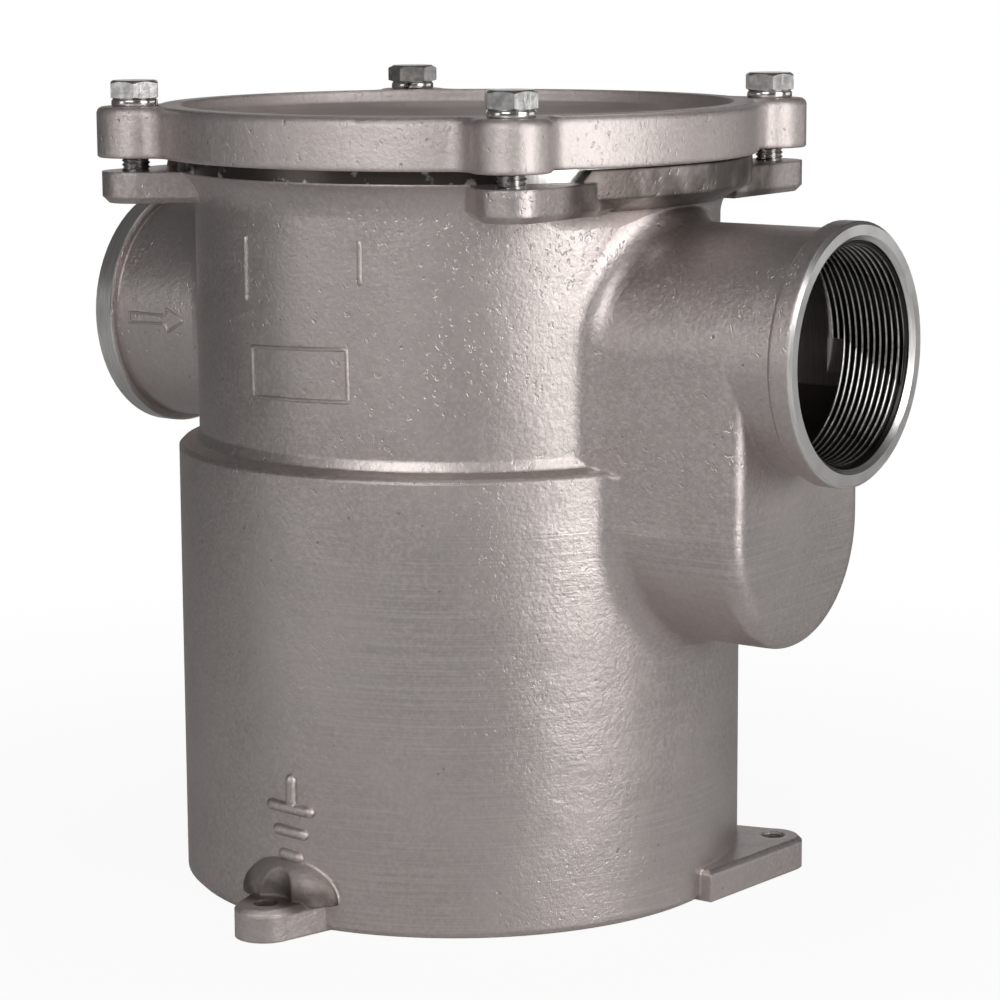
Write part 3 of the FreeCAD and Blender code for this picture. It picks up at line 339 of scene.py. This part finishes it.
def blasted(tree, place, light, dark, roughness, edge):
    """Blasted casting: soft lumps, fine grain, small pits and slanted nicks."""
    lumps = grain(tree, place, 42.0, 3.0, 0.5)
    skin = grain(tree, place, 620.0, 3.0, 0.7)
    patches = grain(tree, place, 16.0, 3.0, 0.6)
    clusters = grain(tree, place, 34.0, 2.0, 0.5)
    cracks = grain(tree, stretched(tree, place, (620.0, 620.0, 130.0), (38.0, 30.0, 0.0)),
                   1.0, 2.0, 0.6)
    nick = both(tree, ramp(tree, cracks, 0.62, 0.70), ramp(tree, clusters, 0.51, 0.66))
    dents = grain(tree, stretched(tree, place, (430.0, 430.0, 170.0), (-35.0, -28.0, 10.0)),
                  1.0, 2.0, 0.6)
    dent = both(tree, ramp(tree, dents, 0.62, 0.71), ramp(tree, clusters, 0.40, 0.55))
    specks = tree.nodes.new("ShaderNodeTexVoronoi")
    specks.inputs["Scale"].default_value = 260.0
    tree.links.new(place, specks.inputs["Vector"])
    few = ramp(tree, grain(tree, place, 120.0, 1.0), 0.60, 0.68)
    pit = both(tree, ramp(tree, specks.outputs["Distance"], 0.20, 0.08), few)
    colour = blend_colour(tree, ramp(tree, patches, 0.34, 0.66), dark, light)
    colour = blend_colour(tree, ramp(tree, skin, 0.35, 0.72), colour,
                          tuple(part * 1.10 for part in light))
    # painted shade: the pits are darkened
    colour = blend_colour(tree, both(tree, pit, 0.45), colour,
                          tuple(part * 0.35 for part in dark))
    colour = blend_colour(tree, both(tree, nick, 0.10), colour, nick_bright)
    rough = blend_number(tree, skin, roughness - 0.05, roughness + 0.09)
    normal = relief(tree, lumps, lump_depth, soft_edges(tree, edge))
    normal = relief(tree, skin, skin_depth, normal)
    marks = sums(tree, "SUBTRACT", nick, sums(tree, "ADD", dent, pit))
    # the sanded drum keeps less of them than the neck
    height = axes(tree, place)[2]
    kept = blend_number(tree, ramp(tree, height, *sanded_edge), drum_marks, neck_marks)
    marks = both(tree, marks, kept)
    normal = relief(tree, marks, mark_depth, normal)
    return colour, rough, normal


def finish(tree, shader, colour, rough, normal):
    """Join a finish to its shader."""
    tree.links.new(colour, shader.inputs["Base Color"])
    tree.links.new(rough, shader.inputs["Roughness"])
    tree.links.new(normal, shader.inputs["Normal"])


cast_light = (0.560, 0.507, 0.490)
cast_dark = (0.480, 0.432, 0.416)
cast_roughness = 0.40
cast_rounding = 0.0014
port_axis = 0.1954

casting, tree, shader, place = metal("blasted_casting")
colour, rough, normal = blasted(tree, place, cast_light, cast_dark, cast_roughness, cast_rounding)
along, side, up = axes(tree, place)
from_axis = hypotenuse(tree, along, side)
# inside, painted shade darkens the metal; each pair is where a zone of the casting fades in
duct_low_axis = 0.136
duct_wall = (0.0375, 0.0365)
duct_end = (0.1372, 0.1362)
duct_start = (0.070, 0.071)
duct_top = (0.1962, 0.1950)
bore_wall = (0.0368, 0.0364)
chamber_wall = (0.0880, 0.0875)
chamber_floor = (0.002, 0.004)
inside_painted_shade = (0.060, 0.054, 0.050)
port_ring = hypotenuse(tree, side, sums(tree, "SUBTRACT", up, port_axis))
below = sums(tree, "MINIMUM", sums(tree, "SUBTRACT", up, duct_low_axis), 0.0)
duct_ring = hypotenuse(tree, side, below)
duct_inside = both(tree, ramp(tree, duct_ring, *duct_wall), ramp(tree, along, *duct_end),
                   ramp(tree, along, *duct_start), ramp(tree, up, *duct_top))
bore_inside = ramp(tree, port_ring, *bore_wall)
chamber_inside = both(tree, ramp(tree, from_axis, *chamber_wall), ramp(tree, up, *chamber_floor))
inside = sums(tree, "MAXIMUM", sums(tree, "MAXIMUM", duct_inside, bore_inside), chamber_inside)
colour = blend_colour(tree, both(tree, inside, 0.80), colour, inside_painted_shade)
# belt marks run level round the drum's side between the front and the outlet
belt_facing = (0.80, -0.60)
belt_side = (0.055, 0.085)
belt_top = (0.150, 0.135)
belt_patches = (0.36, 0.56)
belt_bright = (0.72, 0.66, 0.635)
belt_roughness = 0.30
belt_depth = 0.00005
belt = grain(tree, stretched(tree, place, (14.0, 14.0, 1500.0)), 1.0, 3.0, 0.6)
facing = sums(tree, "ADD", both(tree, along, belt_facing[0]), both(tree, side, belt_facing[1]))
belted = both(tree, ramp(tree, facing, *belt_side), ramp(tree, up, *belt_top),
              ramp(tree, grain(tree, place, 24.0, 2.0), *belt_patches))
colour = blend_colour(tree, both(tree, belted, ramp(tree, belt, 0.46, 0.62), 0.40), colour,
                      belt_bright)
rough = blend_number(tree, both(tree, belted, 0.6), rough, belt_roughness)
normal = relief(tree, both(tree, belt, belted), belt_depth, normal)
# the blast missed the pocket over the front foot, which stays rough; painted shade darkens the
# pocket
web_wall = (0.1000, 0.1006)
web_top = (0.036, 0.032)
web_foot = (0.0080, 0.0090)
web_front = (-0.075, -0.080)
pocket_top = (0.028, 0.012)
pocket_reach = (0.119, 0.110)
web_roughness = 0.56
web = both(tree, ramp(tree, from_axis, *web_wall), ramp(tree, up, *web_top),
           ramp(tree, up, *web_foot), ramp(tree, side, *web_front))
pocket = both(tree, web, ramp(tree, up, *pocket_top), ramp(tree, from_axis, *pocket_reach))
# and painted shade darkens the outlet's shoulder under the lid's overhang, in brown patches
shoulder_wall = (0.0930, 0.0945)
shoulder_low = (0.236, 0.241)
shoulder_side = (0.071, 0.060)
shoulder_start = (0.050, 0.056)
shade_patches = (0.20, 0.58)
painted_shade_brown = (0.100, 0.080, 0.069)
shoulder = both(tree, ramp(tree, from_axis, *shoulder_wall), ramp(tree, up, *shoulder_low),
                ramp(tree, sums(tree, "ABSOLUTE", side, 0.0), *shoulder_side),
                ramp(tree, along, *shoulder_start))
# painted shade: the pocket and the shoulder are darkened brown in patches
pocket_shoulder_shade = both(tree, sums(tree, "MAXIMUM", pocket, shoulder),
             ramp(tree, grain(tree, place, 60.0, 3.0), *shade_patches))
colour = blend_colour(tree, both(tree, pocket_shoulder_shade, 0.88), colour, painted_shade_brown)
rough = blend_number(tree, web, rough, web_roughness)
# turned faces: the outlet's end, the inlet's collar, the bore under each thread, and the
# ring that seats the lid
outlet_lip = (0.1600, 0.1604)
inlet_collar = (-0.1258, -0.1262)
tapped_wall = (0.0394, 0.0390)
tapped_start = (0.0995, 0.1005)
seat_height = (0.2518, 0.2520)
seat_outside = (0.0984, 0.0982)
seat_inside = (0.0868, 0.0870)
seat_shade_edge = (0.072, 0.066)
seat_shade_patches = (0.30, 0.42)
turned_bright = (0.80, 0.785, 0.765)
turned_dull = (0.66, 0.645, 0.625)
turned_painted_shade = (0.10, 0.088, 0.078)
turned_roughness = 0.28
tool_depth = 0.00002
outlet_end = ramp(tree, along, *outlet_lip)
inlet_end = ramp(tree, along, *inlet_collar)
bore = both(tree, ramp(tree, port_ring, *tapped_wall),
            ramp(tree, sums(tree, "ABSOLUTE", along, 0.0), *tapped_start))
collars = sums(tree, "MAXIMUM", sums(tree, "MAXIMUM", outlet_end, inlet_end), bore)
seat = both(tree, ramp(tree, up, *seat_height), ramp(tree, from_axis, *seat_outside),
            ramp(tree, from_axis, *seat_inside))
turned = sums(tree, "MAXIMUM", collars, seat)
tool = grain(tree, stretched(tree, place, (1800.0, 90.0, 90.0)), 1.0, 2.0)
# painted shade: the seat ring, in the gap under the lid's overhang, is darkened in patches over
# all but its outlet side
seat_shade = both(tree, seat, ramp(tree, along, *seat_shade_edge),
               ramp(tree, grain(tree, place, 150.0, 3.0), *seat_shade_patches))
bright = blend_colour(tree, ramp(tree, tool, 0.35, 0.65), turned_dull, turned_bright)
bright = blend_colour(tree, seat_shade, bright, turned_painted_shade)
colour = blend_colour(tree, turned, colour, bright)
rough = blend_number(tree, turned, rough, turned_roughness)
tooled = relief(tree, tool, tool_depth)
smooth = tree.nodes.new("ShaderNodeMix")
smooth.data_type = "VECTOR"
vectors = [socket for socket in smooth.inputs if socket.type == "VECTOR"][-2:]
tree.links.new(turned, smooth.inputs["Factor"])
tree.links.new(normal, vectors[0])
tree.links.new(tooled, vectors[1])
normal = [socket for socket in smooth.outputs if socket.type == "VECTOR"][0]
finish(tree, shader, colour, rough, normal)
nodes["body_casting"].data.materials.clear()
nodes["body_casting"].data.materials.append(casting)


# Threads in the ports.
# Each port is tapped with a parallel pipe thread of 2 1/2 inch, eleven turns to the
# inch, cut in the casting's own bright metal behind a bevelled mouth.
def new_piece(name, points, faces, material, body, crease=40.0):
    """Make a closed mesh piece with its faces turned outwards, and let it ride."""
    mesh = bpy.data.meshes.new(name)
    mesh.from_pydata(points, [], faces)
    shell = bmesh.new()
    shell.from_mesh(mesh)
    bmesh.ops.remove_doubles(shell, verts=shell.verts, dist=0.000001)
    bmesh.ops.recalc_face_normals(shell, faces=shell.faces)
    shell.to_mesh(mesh)
    shell.free()
    mesh.polygons.foreach_set("use_smooth", [True] * len(mesh.polygons))
    mesh.set_sharp_from_angle(angle=math.radians(crease))
    mesh.materials.append(material)
    piece = bpy.data.objects.new(name, mesh)
    bpy.context.scene.collection.objects.link(piece)
    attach(piece, body)
    return piece


def skin_rings(count, rings, wrap):
    """Faces between successive rings of points; wrap closes the last ring to the first."""
    faces = []
    for ring in range(rings if wrap else rings - 1):
        here = ring * count
        there = (ring + 1) % rings * count
        for number in range(count):
            following = (number + 1) % count
            faces.append((here + number, here + following, there + following, there + number))
    return faces


thread_pitch = 0.002309
thread_crest = 0.03603
thread_root = 0.03740
thread_back = 0.03745
thread_mouth = 0.0376
thread_steps = 8
thread_sides = 144
thread_full = 0.0241
thread_end = 0.0295
outlet_mouth = 0.1597
inlet_mouth = -0.1326
thread_dark = (0.36, 0.347, 0.335)
thread_light = (0.56, 0.545, 0.527)
groove_painted_shade = (0.030, 0.028, 0.027)
groove_shade_edge = (0.0361, 0.0365)
thread_wear = 0.00003

thread_metal, tree, shader, place = metal("cut_thread")
wear = grain(tree, place, 420.0, 3.0, 0.6)
along, side, up = axes(tree, place)
thread_ring = hypotenuse(tree, side, sums(tree, "SUBTRACT", up, port_axis))
colour = blend_colour(tree, ramp(tree, wear, 0.35, 0.65), thread_dark, thread_light)
# painted shade: the grooves between the thread's crests are painted near black
colour = blend_colour(tree, ramp(tree, thread_ring, *groove_shade_edge), colour, groove_painted_shade)
rough = blend_number(tree, wear, 0.22, 0.38)
finish(tree, shader, colour, rough, relief(tree, wear, thread_wear))


def thread_sleeve(name, mouth, inward, first, last, arc):
    """Helical thread between two depths behind a port's mouth, over an arc from +Y upwards."""
    rows = round((last - first) / thread_pitch * thread_steps)
    count = round(thread_sides * arc / 360.0)
    whole = arc == 360.0
    rings = count if whole else count + 1
    points = []
    for step in range(rings):
        turn = math.radians(arc) * step / count
        profile = []
        for row in range(rows + 1):
            depth = first + (last - first) * row / rows
            phase = (depth / thread_pitch - turn / (2.0 * math.pi)) % 1.0
            flank = 1.0 - abs(2.0 * phase - 1.0)
            ridge = flank * flank * (3.0 - 2.0 * flank)
            radius = thread_root - (thread_root - thread_crest) * ridge
            profile.append((depth, min(thread_root, max(radius, thread_mouth - depth))))
        profile += [(last, thread_back), (first, thread_back)]
        points += [(mouth + inward * depth, radius * math.cos(turn),
                    port_axis + radius * math.sin(turn)) for depth, radius in profile]
    faces = skin_rings(rows + 3, rings, whole)
    if not whole:
        faces.append(tuple(reversed(range(rows + 3))))
        end = (rings - 1) * (rows + 3)
        faces.append(tuple(end + number for number in range(rows + 3)))
    new_piece(name, points, faces, thread_metal, "body", crease=50.0)


thread_sleeve("outlet_thread", outlet_mouth, -1.0, 0.0, thread_full, 360.0)
thread_sleeve("outlet_thread_end", outlet_mouth, -1.0, thread_full, thread_end, 180.0)
thread_sleeve("inlet_thread", inlet_mouth, 1.0, 0.0, thread_end, 360.0)


# Shoulder flares.
# Over each port the casting swells out to carry the lid, in one hollow sweep from under
# the lid down to the neck. It is poured in one with the body.
flare_top = 0.2516
flare_foot = 0.2340
flare_reach = 0.1033
flare_root = 0.0922
flare_back = 0.0900
flare_half = 37.0
flare_fade = 7.0
flare_hollow = 2.2
flare_steps = 60
flare_rows = 14
for name, middle in (("outlet_shoulder_flare", 0.0), ("inlet_shoulder_flare", 180.0)):
    points = []
    for step in range(flare_steps + 1):
        swing = flare_half * (2.0 * step / flare_steps - 1.0)
        share = min(1.0, (flare_half - abs(swing)) / flare_fade)
        swell = (flare_reach - flare_root) * share * share * (3.0 - 2.0 * share)
        turn = math.radians(middle + swing)
        profile = [(flare_root + swell * (1.0 - row / flare_rows) ** flare_hollow,
                    flare_top - (flare_top - flare_foot) * row / flare_rows)
                   for row in range(flare_rows + 1)]
        profile += [(flare_back, flare_foot), (flare_back, flare_top)]
        points += [(radius * math.cos(turn), radius * math.sin(turn), height)
                   for radius, height in profile]
    size = flare_rows + 3
    faces = skin_rings(size, flare_steps + 1, False)
    faces.append(tuple(reversed(range(size))))
    faces.append(tuple(flare_steps * size + number for number in range(size)))
    new_piece(name, points, faces, casting, "body")


# Raised marks.
# Cast proud of the wall in the same pour: an earth symbol low on the drum, a flow
# arrow on the inlet tube and two bare frames on the neck.
bead_step = 0.0009
bead_sides = 7
bead_sink = 0.0004
bead_fullness = 0.7
bead_least_end = 0.02
inlet_tube_radius = 0.041


def raised_bead(points, faces, path, width, height, surface, loop):
    """Lay a rounded bead along a path of (across, up) on a curved wall."""
    fine = []
    ends = path + [path[0]] if loop else path
    for first, last in zip(ends, ends[1:]):
        run = math.dist(first, last)
        count = max(1, round(run / bead_step))
        fine += [tuple(a + (b - a) * step / count for a, b in zip(first, last))
                 for step in range(count)]
    if not loop:
        fine.append(path[-1])
    total = len(fine)
    start = len(points)
    gone = 0.0
    length = sum(math.dist(a, b) for a, b in zip(fine, fine[1:]))
    for index, (across, rise) in enumerate(fine):
        if index:
            gone += math.dist(fine[index - 1], fine[index])
        before = fine[(index - 1) % total] if loop else fine[max(index - 1, 0)]
        after = fine[(index + 1) % total] if loop else fine[min(index + 1, total - 1)]
        run = math.dist(before, after)
        lead = ((after[0] - before[0]) / run, (after[1] - before[1]) / run)
        near_end = width if loop else min(gone, length - gone)
        swell = math.sqrt(max(bead_least_end, 1.0 - max(0.0, 1.0 - near_end / (width / 2)) ** 2))
        for number in range(bead_sides):
            turn = math.pi * number / (bead_sides - 1)
            offset = -math.cos(turn) * width / 2 * swell
            proud = math.sin(turn) ** bead_fullness * height * swell
            points.append(surface(across - lead[1] * offset, rise + lead[0] * offset,
                                  proud - bead_sink))
    for index in range(total if loop else total - 1):
        here = start + index * bead_sides
        there = start + (index + 1) % total * bead_sides
        for number in range(bead_sides):
            following = (number + 1) % bead_sides
            faces.append((here + number, here + following, there + following, there + number))
    if not loop:
        faces.append(tuple(start + number for number in range(bead_sides)))
        last = start + (total - 1) * bead_sides
        faces.append(tuple(last + number for number in reversed(range(bead_sides))))


def on_wall(radius):
    """Place on the front of an upright wall, by its distance round from -Y and its height."""
    def place_at(across, rise, proud):
        turn = across / radius - math.pi / 2
        return ((radius + proud) * math.cos(turn), (radius + proud) * math.sin(turn), rise)
    return place_at


def on_inlet_tube(across, rise, proud):
    """Place on the front of the inlet tube, by X and by the distance round from its middle."""
    radius = inlet_tube_radius + proud
    turn = (rise - port_axis) / inlet_tube_radius
    return (across, -radius * math.cos(turn), port_axis + radius * math.sin(turn))


drum_radius = 0.0996
neck_radius = 0.0923
mark_sets = (
    ("earth_mark", on_wall(drum_radius), 0.0040, 0.0024, False,
     (((0.0015, 0.0415), (0.0015, 0.0532)),
      ((-0.0092, 0.0416), (0.0111, 0.0406)),
      ((-0.0064, 0.0334), (0.0085, 0.0324)),
      ((-0.0042, 0.0252), (0.0063, 0.0240)))),
    ("upper_frame", on_wall(neck_radius), 0.0019, 0.0012, False,
     (((-0.0227, 0.2102), (-0.0227, 0.2331)),
      ((0.0254, 0.2180), (0.0254, 0.2338)))),
    ("lower_frame", on_wall(neck_radius), 0.0015, 0.0011, True,
     (((-0.0197, 0.1788), (0.0206, 0.1797), (0.0203, 0.1972), (-0.0200, 0.1957)),)),
    ("flow_arrow", on_inlet_tube, 0.0012, 0.0011, True,
     (((-0.1192, 0.1928), (-0.1022, 0.1933), (-0.1008, 0.1905), (-0.0935, 0.1948),
       (-0.1012, 0.1988), (-0.1020, 0.1963), (-0.1190, 0.1966)),)),
)
for name, surface, width, height, loop, paths in mark_sets:
    points = []
    faces = []
    for path in paths:
        raised_bead(points, faces, list(path), width, height, surface, loop)
    new_piece(name, points, faces, casting, "body", crease=60.0)


# Lid.
# A flat cast disc with a shallow recess and four bolt bosses, blasted like the body
# and a little cleaner; painted shade darkens the recess.
lid_light = (0.575, 0.521, 0.504)
lid_dark = (0.52, 0.468, 0.452)
lid_roughness = 0.50
lid_rounding = 0.0022
recess_side = (0.0972, 0.0962)
recess_top = (0.2728, 0.2712)
recess_foot = (0.262, 0.264)
recess_shade_dark = (0.34, 0.307, 0.296)
recess_shade_light = (0.45, 0.408, 0.393)
recess_roughness = 0.75
lid_wall = (0.1040, 0.1050)
lid_draft = -0.11

lid_cast, tree, shader, place = metal("blasted_lid")
colour, rough, normal = blasted(tree, place, lid_light, lid_dark, lid_roughness, lid_rounding)
along, side, up = axes(tree, place)
from_axis = hypotenuse(tree, along, side)
recess = both(tree, ramp(tree, from_axis, *recess_side), ramp(tree, up, *recess_top),
              ramp(tree, up, *recess_foot))
# painted shade: the recess is darkened in soft patches, and it is rougher
recess_shade = blend_colour(tree, ramp(tree, grain(tree, place, 14.0, 3.0), 0.36, 0.64),
                    recess_shade_dark, recess_shade_light)
colour = blend_colour(tree, both(tree, recess, 0.80), colour, recess_shade)
rough = blend_number(tree, recess, rough, recess_roughness)
# the side has a moulder's draft, so it leans a little towards the light
wall = ramp(tree, from_axis, *lid_wall)
normal = relief(tree, both(tree, wall, up), lid_draft, normal)
finish(tree, shader, colour, rough, normal)
nodes["lid"].data.materials.clear()
nodes["lid"].data.materials.append(lid_cast)


# Seals.
# A round rubber ring in the body's rim and a flat ring under the basket's rim, moulded in
# black rubber with a faint bloom.
rubber_dark = (0.016, 0.016, 0.017)
rubber_light = (0.035, 0.034, 0.033)
rubber_roughness = 0.62
rubber_depth = 0.00004

rubber = bpy.data.materials.new("black_seal_rubber")
rubber.use_nodes = True
tree = rubber.node_tree
shader = tree.nodes["Principled BSDF"]
shader.inputs["Roughness"].default_value = rubber_roughness
place = tree.nodes.new("ShaderNodeTexCoord").outputs["Object"]
cloud = grain(tree, place, 260.0, 3.0)
tree.links.new(blend_colour(tree, cloud, rubber_dark, rubber_light), shader.inputs["Base Color"])
tree.links.new(relief(tree, grain(tree, place, 1800.0), rubber_depth), shader.inputs["Normal"])
for name in ("lid_o_ring", "basket_seat_gasket"):
    nodes[name].data.materials.clear()
    nodes[name].data.materials.append(rubber)


# Bolts and spring washers.
# Four hexagon screws with a rolled thread up to the head, bright but scuffed, each on
# a split spring washer of polished steel.
def bright_finish(name, light, dark, roughness, depth):
    """Bright drawn or forged steel with fine wear."""
    material, tree, shader, place = metal(name)
    wear = grain(tree, place, 350.0, 4.0, 0.6)
    rub = grain(tree, stretched(tree, place, (900.0, 900.0, 180.0)), 1.0, 2.0)
    colour = blend_colour(tree, ramp(tree, wear, 0.35, 0.65), dark, light)
    rough = blend_number(tree, rub, roughness - 0.06, roughness + 0.10)
    normal = relief(tree, rub, depth * 0.3, relief(tree, wear, depth))
    finish(tree, shader, colour, rough, normal)
    return material


bolt_metal = bright_finish("forged_bolt", (0.66, 0.645, 0.625), (0.42, 0.41, 0.40), 0.30,
                           0.00012)
washer_metal = bright_finish("bright_washer", (0.80, 0.79, 0.77), (0.64, 0.63, 0.62), 0.16,
                             0.00004)
bolt_circle = 0.1125
bolt_tip = 0.2415
bolt_seat = 0.2765
bolt_top = 0.2829
bolt_flat = 0.0080
bolt_crown = 0.0077
bolt_thread = 0.0015
bolt_crest = 0.00494
bolt_core = 0.00415
bolt_tip_radius = 0.0040
bolt_cap = 0.0008
bolt_rows = 8
bolt_overlap = 0.0004
head_land = 0.0074
head_foot_lift = 0.0003
head_crown_drop = 0.0002
crown_slope = math.tan(math.radians(30.0))
foot_slope = math.tan(math.radians(15.0))
bolt_sides = 72
# place round the lid, and which way a corner of the head points
bolt_settings = ((1, -45.0, -48.0), (2, 45.0, -52.0), (3, 135.0, -84.0), (4, 225.0, -50.0))


def hexagon(turn):
    """Distance from the axis to the head's side, a corner lying at zero."""
    return bolt_flat / math.cos((turn % (math.pi / 3)) - math.pi / 6)


for number, angle, corner in bolt_settings:
    centre_x = bolt_circle * math.cos(math.radians(angle))
    centre_y = bolt_circle * math.sin(math.radians(angle))
    offset = math.radians(corner)
    rings = []
    shank = bolt_seat - bolt_overlap - bolt_tip
    rows = round(shank / bolt_thread * bolt_rows)
    rings.append([(bolt_cap, bolt_tip)] * bolt_sides)
    for row in range(rows + 1):
        rise = shank * row / rows
        ring = []
        for step in range(bolt_sides):
            phase = (rise / bolt_thread - step / bolt_sides) % 1.0
            ridge = 1.0 - abs(2.0 * phase - 1.0)
            radius = bolt_core + (bolt_crest - bolt_core) * ridge
            ring.append((min(radius, bolt_tip_radius + rise), bolt_tip + rise))
        rings.append(ring)
    rings.append([(bolt_core, bolt_seat)] * bolt_sides)
    sides = [hexagon(2.0 * math.pi * step / bolt_sides) for step in range(bolt_sides)]
    rings.append([(head_land, bolt_seat)] * bolt_sides)
    head_foot = bolt_seat + head_foot_lift
    head_crown = bolt_top - head_crown_drop
    for share in (0.0, 1.0):
        rings.append([(reach if share else min(reach, bolt_crown),
                       head_foot + max(0.0, reach - bolt_crown) * foot_slope * share)
                      for reach in sides])
    for share in (1.0, 0.5, 0.0):
        rings.append([(min(reach, bolt_crown) + max(0.0, reach - bolt_crown) * share,
                       head_crown - max(0.0, reach - bolt_crown) * crown_slope * share)
                      for reach in sides])
    rings.append([(head_land, bolt_top)] * bolt_sides)
    rings.append([(bolt_cap, bolt_top)] * bolt_sides)
    points = []
    for ring in rings:
        for step, (radius, height) in enumerate(ring):
            turn = 2.0 * math.pi * step / bolt_sides + offset
            points.append((centre_x + radius * math.cos(turn),
                           centre_y + radius * math.sin(turn), height))
    faces = skin_rings(bolt_sides, len(rings), False)
    faces.append(tuple(reversed(range(bolt_sides))))
    last = (len(rings) - 1) * bolt_sides
    faces.append(tuple(last + step for step in range(bolt_sides)))
    bolt = new_piece("hexagon_bolt_%d" % number, points, faces, bolt_metal,
                     "bolt_%d" % number, crease=24.0)
    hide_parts("lid_bolt_%d" % number)

washer_low = 0.2740
washer_high = 0.2765
washer_inner = 0.00515
washer_outer = 0.0080
washer_round = 0.0007
washer_steps = 96
washer_gap = math.radians(9.0)
washer_lean = math.radians(14.0)
section = []
for middle_x, middle_z, first in ((washer_outer - washer_round, washer_high - washer_round, 0),
                                  (washer_inner + washer_round, washer_high - washer_round, 90),
                                  (washer_inner + washer_round, washer_low + washer_round, 180),
                                  (washer_outer - washer_round, washer_low + washer_round, 270)):
    for bend in (0, 30, 60, 90):
        turn = math.radians(first + bend)
        section.append((middle_x + washer_round * math.cos(turn),
                        middle_z + washer_round * math.sin(turn)))
for number, angle, _ in bolt_settings:
    centre_x = bolt_circle * math.cos(math.radians(angle))
    centre_y = bolt_circle * math.sin(math.radians(angle))
    start = math.radians(angle + 150.0)
    points = []
    for step in range(washer_steps + 1):
        sweep = washer_gap + (2.0 * math.pi - 2.0 * washer_gap) * step / washer_steps
        for radius, height in section:
            lean = washer_lean * (height - washer_low) / (washer_high - washer_low)
            turn = start + sweep + lean
            points.append((centre_x + radius * math.cos(turn),
                           centre_y + radius * math.sin(turn), height))
    faces = skin_rings(len(section), washer_steps + 1, False)
    faces.append(tuple(reversed(range(len(section)))))
    last = washer_steps * len(section)
    faces.append(tuple(last + step for step in range(len(section))))
    washer = new_piece("split_washer_%d" % number, points, faces, washer_metal,
                       "washer_%d" % number, crease=50.0)
    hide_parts("spring_washer_%d" % number)


# Basket.
# A perforated sheet cylinder on a flat rim, with two bands, a dished bottom and a wire
# handle held by two ears, all in bright stainless sheet and wire.
sheet_metal = bright_finish("rolled_sheet", (0.68, 0.66, 0.64), (0.58, 0.565, 0.55), 0.28,
                            0.00004)
wire_metal = bright_finish("drawn_wire", (0.70, 0.685, 0.665), (0.62, 0.605, 0.59), 0.22,
                           0.00003)
for name in ("basket_rim", "basket_screen", "basket_bottom", "basket_middle_band",
             "basket_lower_band", "basket_seam_strap", "handle_ear_front",
             "handle_ear_back"):
    nodes[name].data.materials.clear()
    nodes[name].data.materials.append(sheet_metal)
nodes["basket_handle"].data.materials.clear()
nodes["basket_handle"].data.materials.append(wire_metal)
